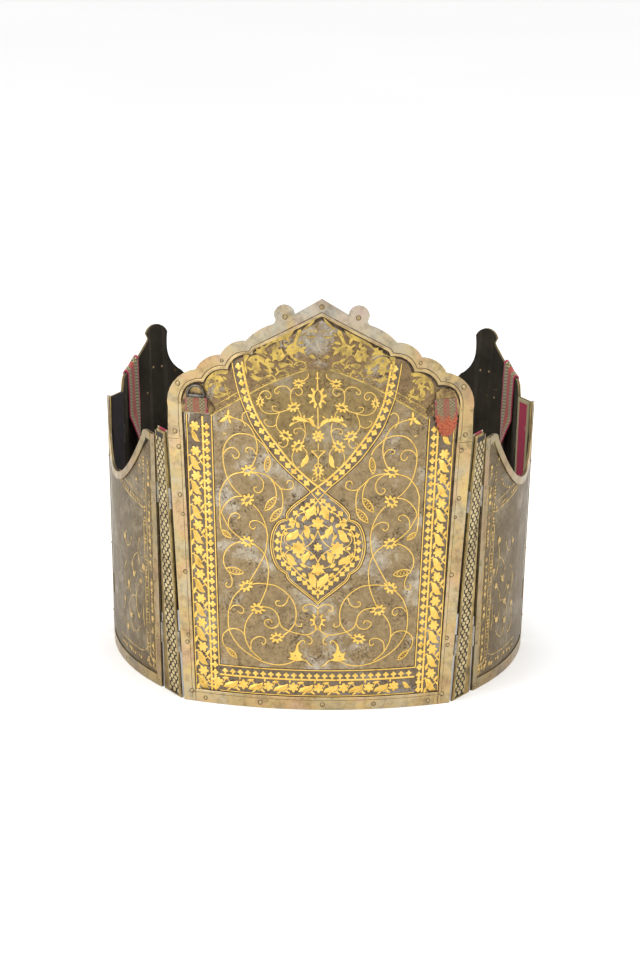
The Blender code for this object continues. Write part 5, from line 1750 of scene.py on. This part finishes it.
# %% [markdown]
# Of the straps on the tall plate only stubs are left, sewn round the bars of the bell-shaped
# fittings. The left one is short and the right one hangs down with a frayed, narrowing end, so
# both are the same cloth as the straps with a rag added: each row of it is a little torn.

# %% Stubs of the shoulder straps
FITTING_WIDTH, FITTING_FOOT, FITTING_HEIGHT, FITTING_SHEET = 0.030, 0.2795, 0.0265, 0.0012
RIM_SHARE, PLATE_INSET, FITTING_GAP = 0.911, 0.002, 0.0009
over_sheet = PLATE / 2 + GAP + FITTING_SHEET + GAP
rim_edge = RIM_SHARE * (FRONT.width(CHEST_HEIGHT) / 2 - PLATE_INSET)
fitting_middle = rim_edge - FITTING_GAP - 0.44 * FITTING_WIDTH
bar_height = FITTING_FOOT + 0.64 * FITTING_HEIGHT
for side, sign, length, drop, worn in (("left", -1, 14.5, 0.0015, 1.0),
                                       ("right", 1, 36, 0.0003, 0.45)):
    folds = [Fold(length * step / 24 * MM, over_sheet + 0.0008, 0.0) for step in range(25)]
    top = bar_height - drop
    middle = sign * fitting_middle + FRONT.width(top) / 2
    lay_strap("woven_stub_" + side, FRONT, folds, middle, lambda across: top, "front",
              "strap_stub_" + side, WORN_WEBBING,
              ragged=3.0 if sign > 0 else 1.2, worn=worn)


# %% [markdown]
# The frame that still holds the left stub is a bent rod with a roller on its straight side. The
# rod is swept along an arch, and the roller is a short turned bar with a groove near each end.

# %% Frame and roller of the left shoulder
ARCH_HALF_WIDTH, ARCH_HEIGHT = 7.75, 9.5
ROD_RADIUS, ROD_LIFT = 0.0011, 0.0012


def make_frame():
    """One piece: the rod bent over an arch, and the turned roller between its feet."""
    out = over_sheet + ROD_LIFT
    curve = bpy.data.curves.new("arch", "CURVE")
    curve.dimensions = "3D"
    curve.bevel_depth = ROD_RADIUS
    curve.bevel_resolution = 3
    curve.use_fill_caps = True
    spline = curve.splines.new("POLY")
    spline.points.add(24)
    for step, knot in enumerate(spline.points):
        angle = math.pi * step / 24
        x = -fitting_middle / MM + ARCH_HALF_WIDTH * math.cos(angle)
        y = bar_height / MM + ARCH_HEIGHT * math.sin(angle)
        knot.co = (*FRONT.at(x * MM + FRONT.width(y * MM) / 2, y * MM, out), 1)
    ends = [Vector(spline.points[index].co[:3]) for index in (0, -1)]
    shape = bmesh.new()
    add_mesh(shape, drawn_mesh(curve))
    way = (ends[1] - ends[0]).normalized()
    turn = way.to_track_quat("Z", "Y").to_matrix().to_4x4()
    profile = [(0.0, -8.6), (1.2, -8.6), (1.5, -8.2), (1.5, -7.0), (1.2, -6.7), (1.75, -6.4),
               (1.75, 6.4), (1.2, 6.7), (1.5, 7.0), (1.5, 8.2), (1.2, 8.6), (0.0, 8.6)]
    knots = [shape.verts.new((radius * MM, 0, height * MM)) for radius, height in profile]
    edges = [shape.edges.new(pair) for pair in zip(knots, knots[1:])]
    rod = set(shape.verts) - set(knots)
    bmesh.ops.spin(shape, geom=knots + edges, axis=(0, 0, 1), cent=(0, 0, 0), steps=20,
                   angle=2 * math.pi, use_merge=True)
    bmesh.ops.remove_doubles(shape, verts=[vert for vert in shape.verts if vert not in rod],
                             dist=1e-7)
    middle = (ends[0] + ends[1]) / 2
    bmesh.ops.transform(shape, matrix=Matrix.Translation(middle) @ turn,
                        verts=[vert for vert in shape.verts if vert not in rod])
    bmesh.ops.recalc_face_normals(shape, faces=shape.faces[:])
    # The rod's dark finish is partly painted shade along the arch.
    piece = finish_piece(shape, "frame_and_roller", "front", [ROD_IRON_AND_SHADE], 40)
    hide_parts("shoulder_ring_left")


make_frame()
print("frame and roller made")


# %% [markdown]
# The studio: a pale floor that runs on past the frame, a pale sky light from all round, and two
# large soft boxes. Metal shows what it reflects, so the lights are wide and the floor is nearly
# white. The camera stands in front of the tall plate and looks down by 15 degrees.

# %% Floor, light and camera
def studio_floor():
    """A sheet of pale paper, large enough to run out of every view."""
    shape = bmesh.new()
    bmesh.ops.create_grid(shape, x_segments=1, y_segments=1, size=14)
    mesh = as_mesh(shape, "studio_floor")
    paper = Recipe("floor_paper", 0.0, 0.9)
    paper.colour(paper.ramp(paper.noise(0.8, 2), (0.3, 0.92), (0.7, 0.94)))
    mesh.materials.append(paper.material)
    floor = bpy.data.objects.new("studio_floor", mesh)
    floor.location = (0, 6, 0)
    bpy.context.scene.collection.objects.link(floor)
    floor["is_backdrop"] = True


def soft_box(name, place, aim, size, power):
    """A wide soft light that faces its aim."""
    lamp = bpy.data.lights.new(name, "AREA")
    lamp.shape = "RECTANGLE"
    lamp.size, lamp.size_y = size
    lamp.energy = power
    box = bpy.data.objects.new(name, lamp)
    box.location = place
    box.rotation_euler = (Vector(aim) - Vector(place)).to_track_quat("-Z", "Y").to_euler()
    bpy.context.scene.collection.objects.link(box)


studio_floor()
soft_box("box_above", (0.0, -0.6, 2.6), (0, 0, 0.1), (2.6, 2.2), 36)
soft_box("box_left", (-2.2, -1.6, 1.5), (0, 0, 0.2), (1.4, 1.8), 28)
soft_box("box_right", (2.2, -1.4, 1.3), (0, 0, 0.2), (1.2, 1.8), 8)

world = bpy.data.worlds.new("studio")
bpy.context.scene.world = world
world.use_nodes = True
sky = world.node_tree.nodes["Background"]
sky.inputs["Color"].default_value = (1.0, 1.0, 1.0, 1.0)
sky.inputs["Strength"].default_value = 1.02

CAMERA_PLACE, LOOKS_DOWN, ROLLED = (0.0003, -2.610, 0.879), 14.99, 0.75
lens = bpy.data.cameras.new("camera")
lens.lens, lens.sensor_width = 103.87, 36.0
lens.clip_end = 60
camera = bpy.data.objects.new("camera", lens)
tilt = Matrix.Rotation(math.radians(90 - LOOKS_DOWN), 4, "X")
roll = Matrix.Rotation(math.radians(ROLLED), 4, "Z")
camera.matrix_world = Matrix.Translation(CAMERA_PLACE) @ tilt @ roll
bpy.context.scene.collection.objects.link(camera)
bpy.context.scene.camera = camera
bpy.context.scene.view_settings.view_transform = "Standard"
print("studio set, camera", round(camera.location.length, 2), "m from the middle of the hem")


# %% [markdown]
# Last, the box of the shown pieces is printed. It should differ from the box of the solid model
# by a few millimetres at most, since rivets and gold stand hardly above the steel.

# %% Sizes and the end
shown_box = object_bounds()
[[list(corner) for corner in box] for box in (cad_box, shown_box)]
print("shown box", [[round(v, 4) for v in corner] for corner in shown_box])
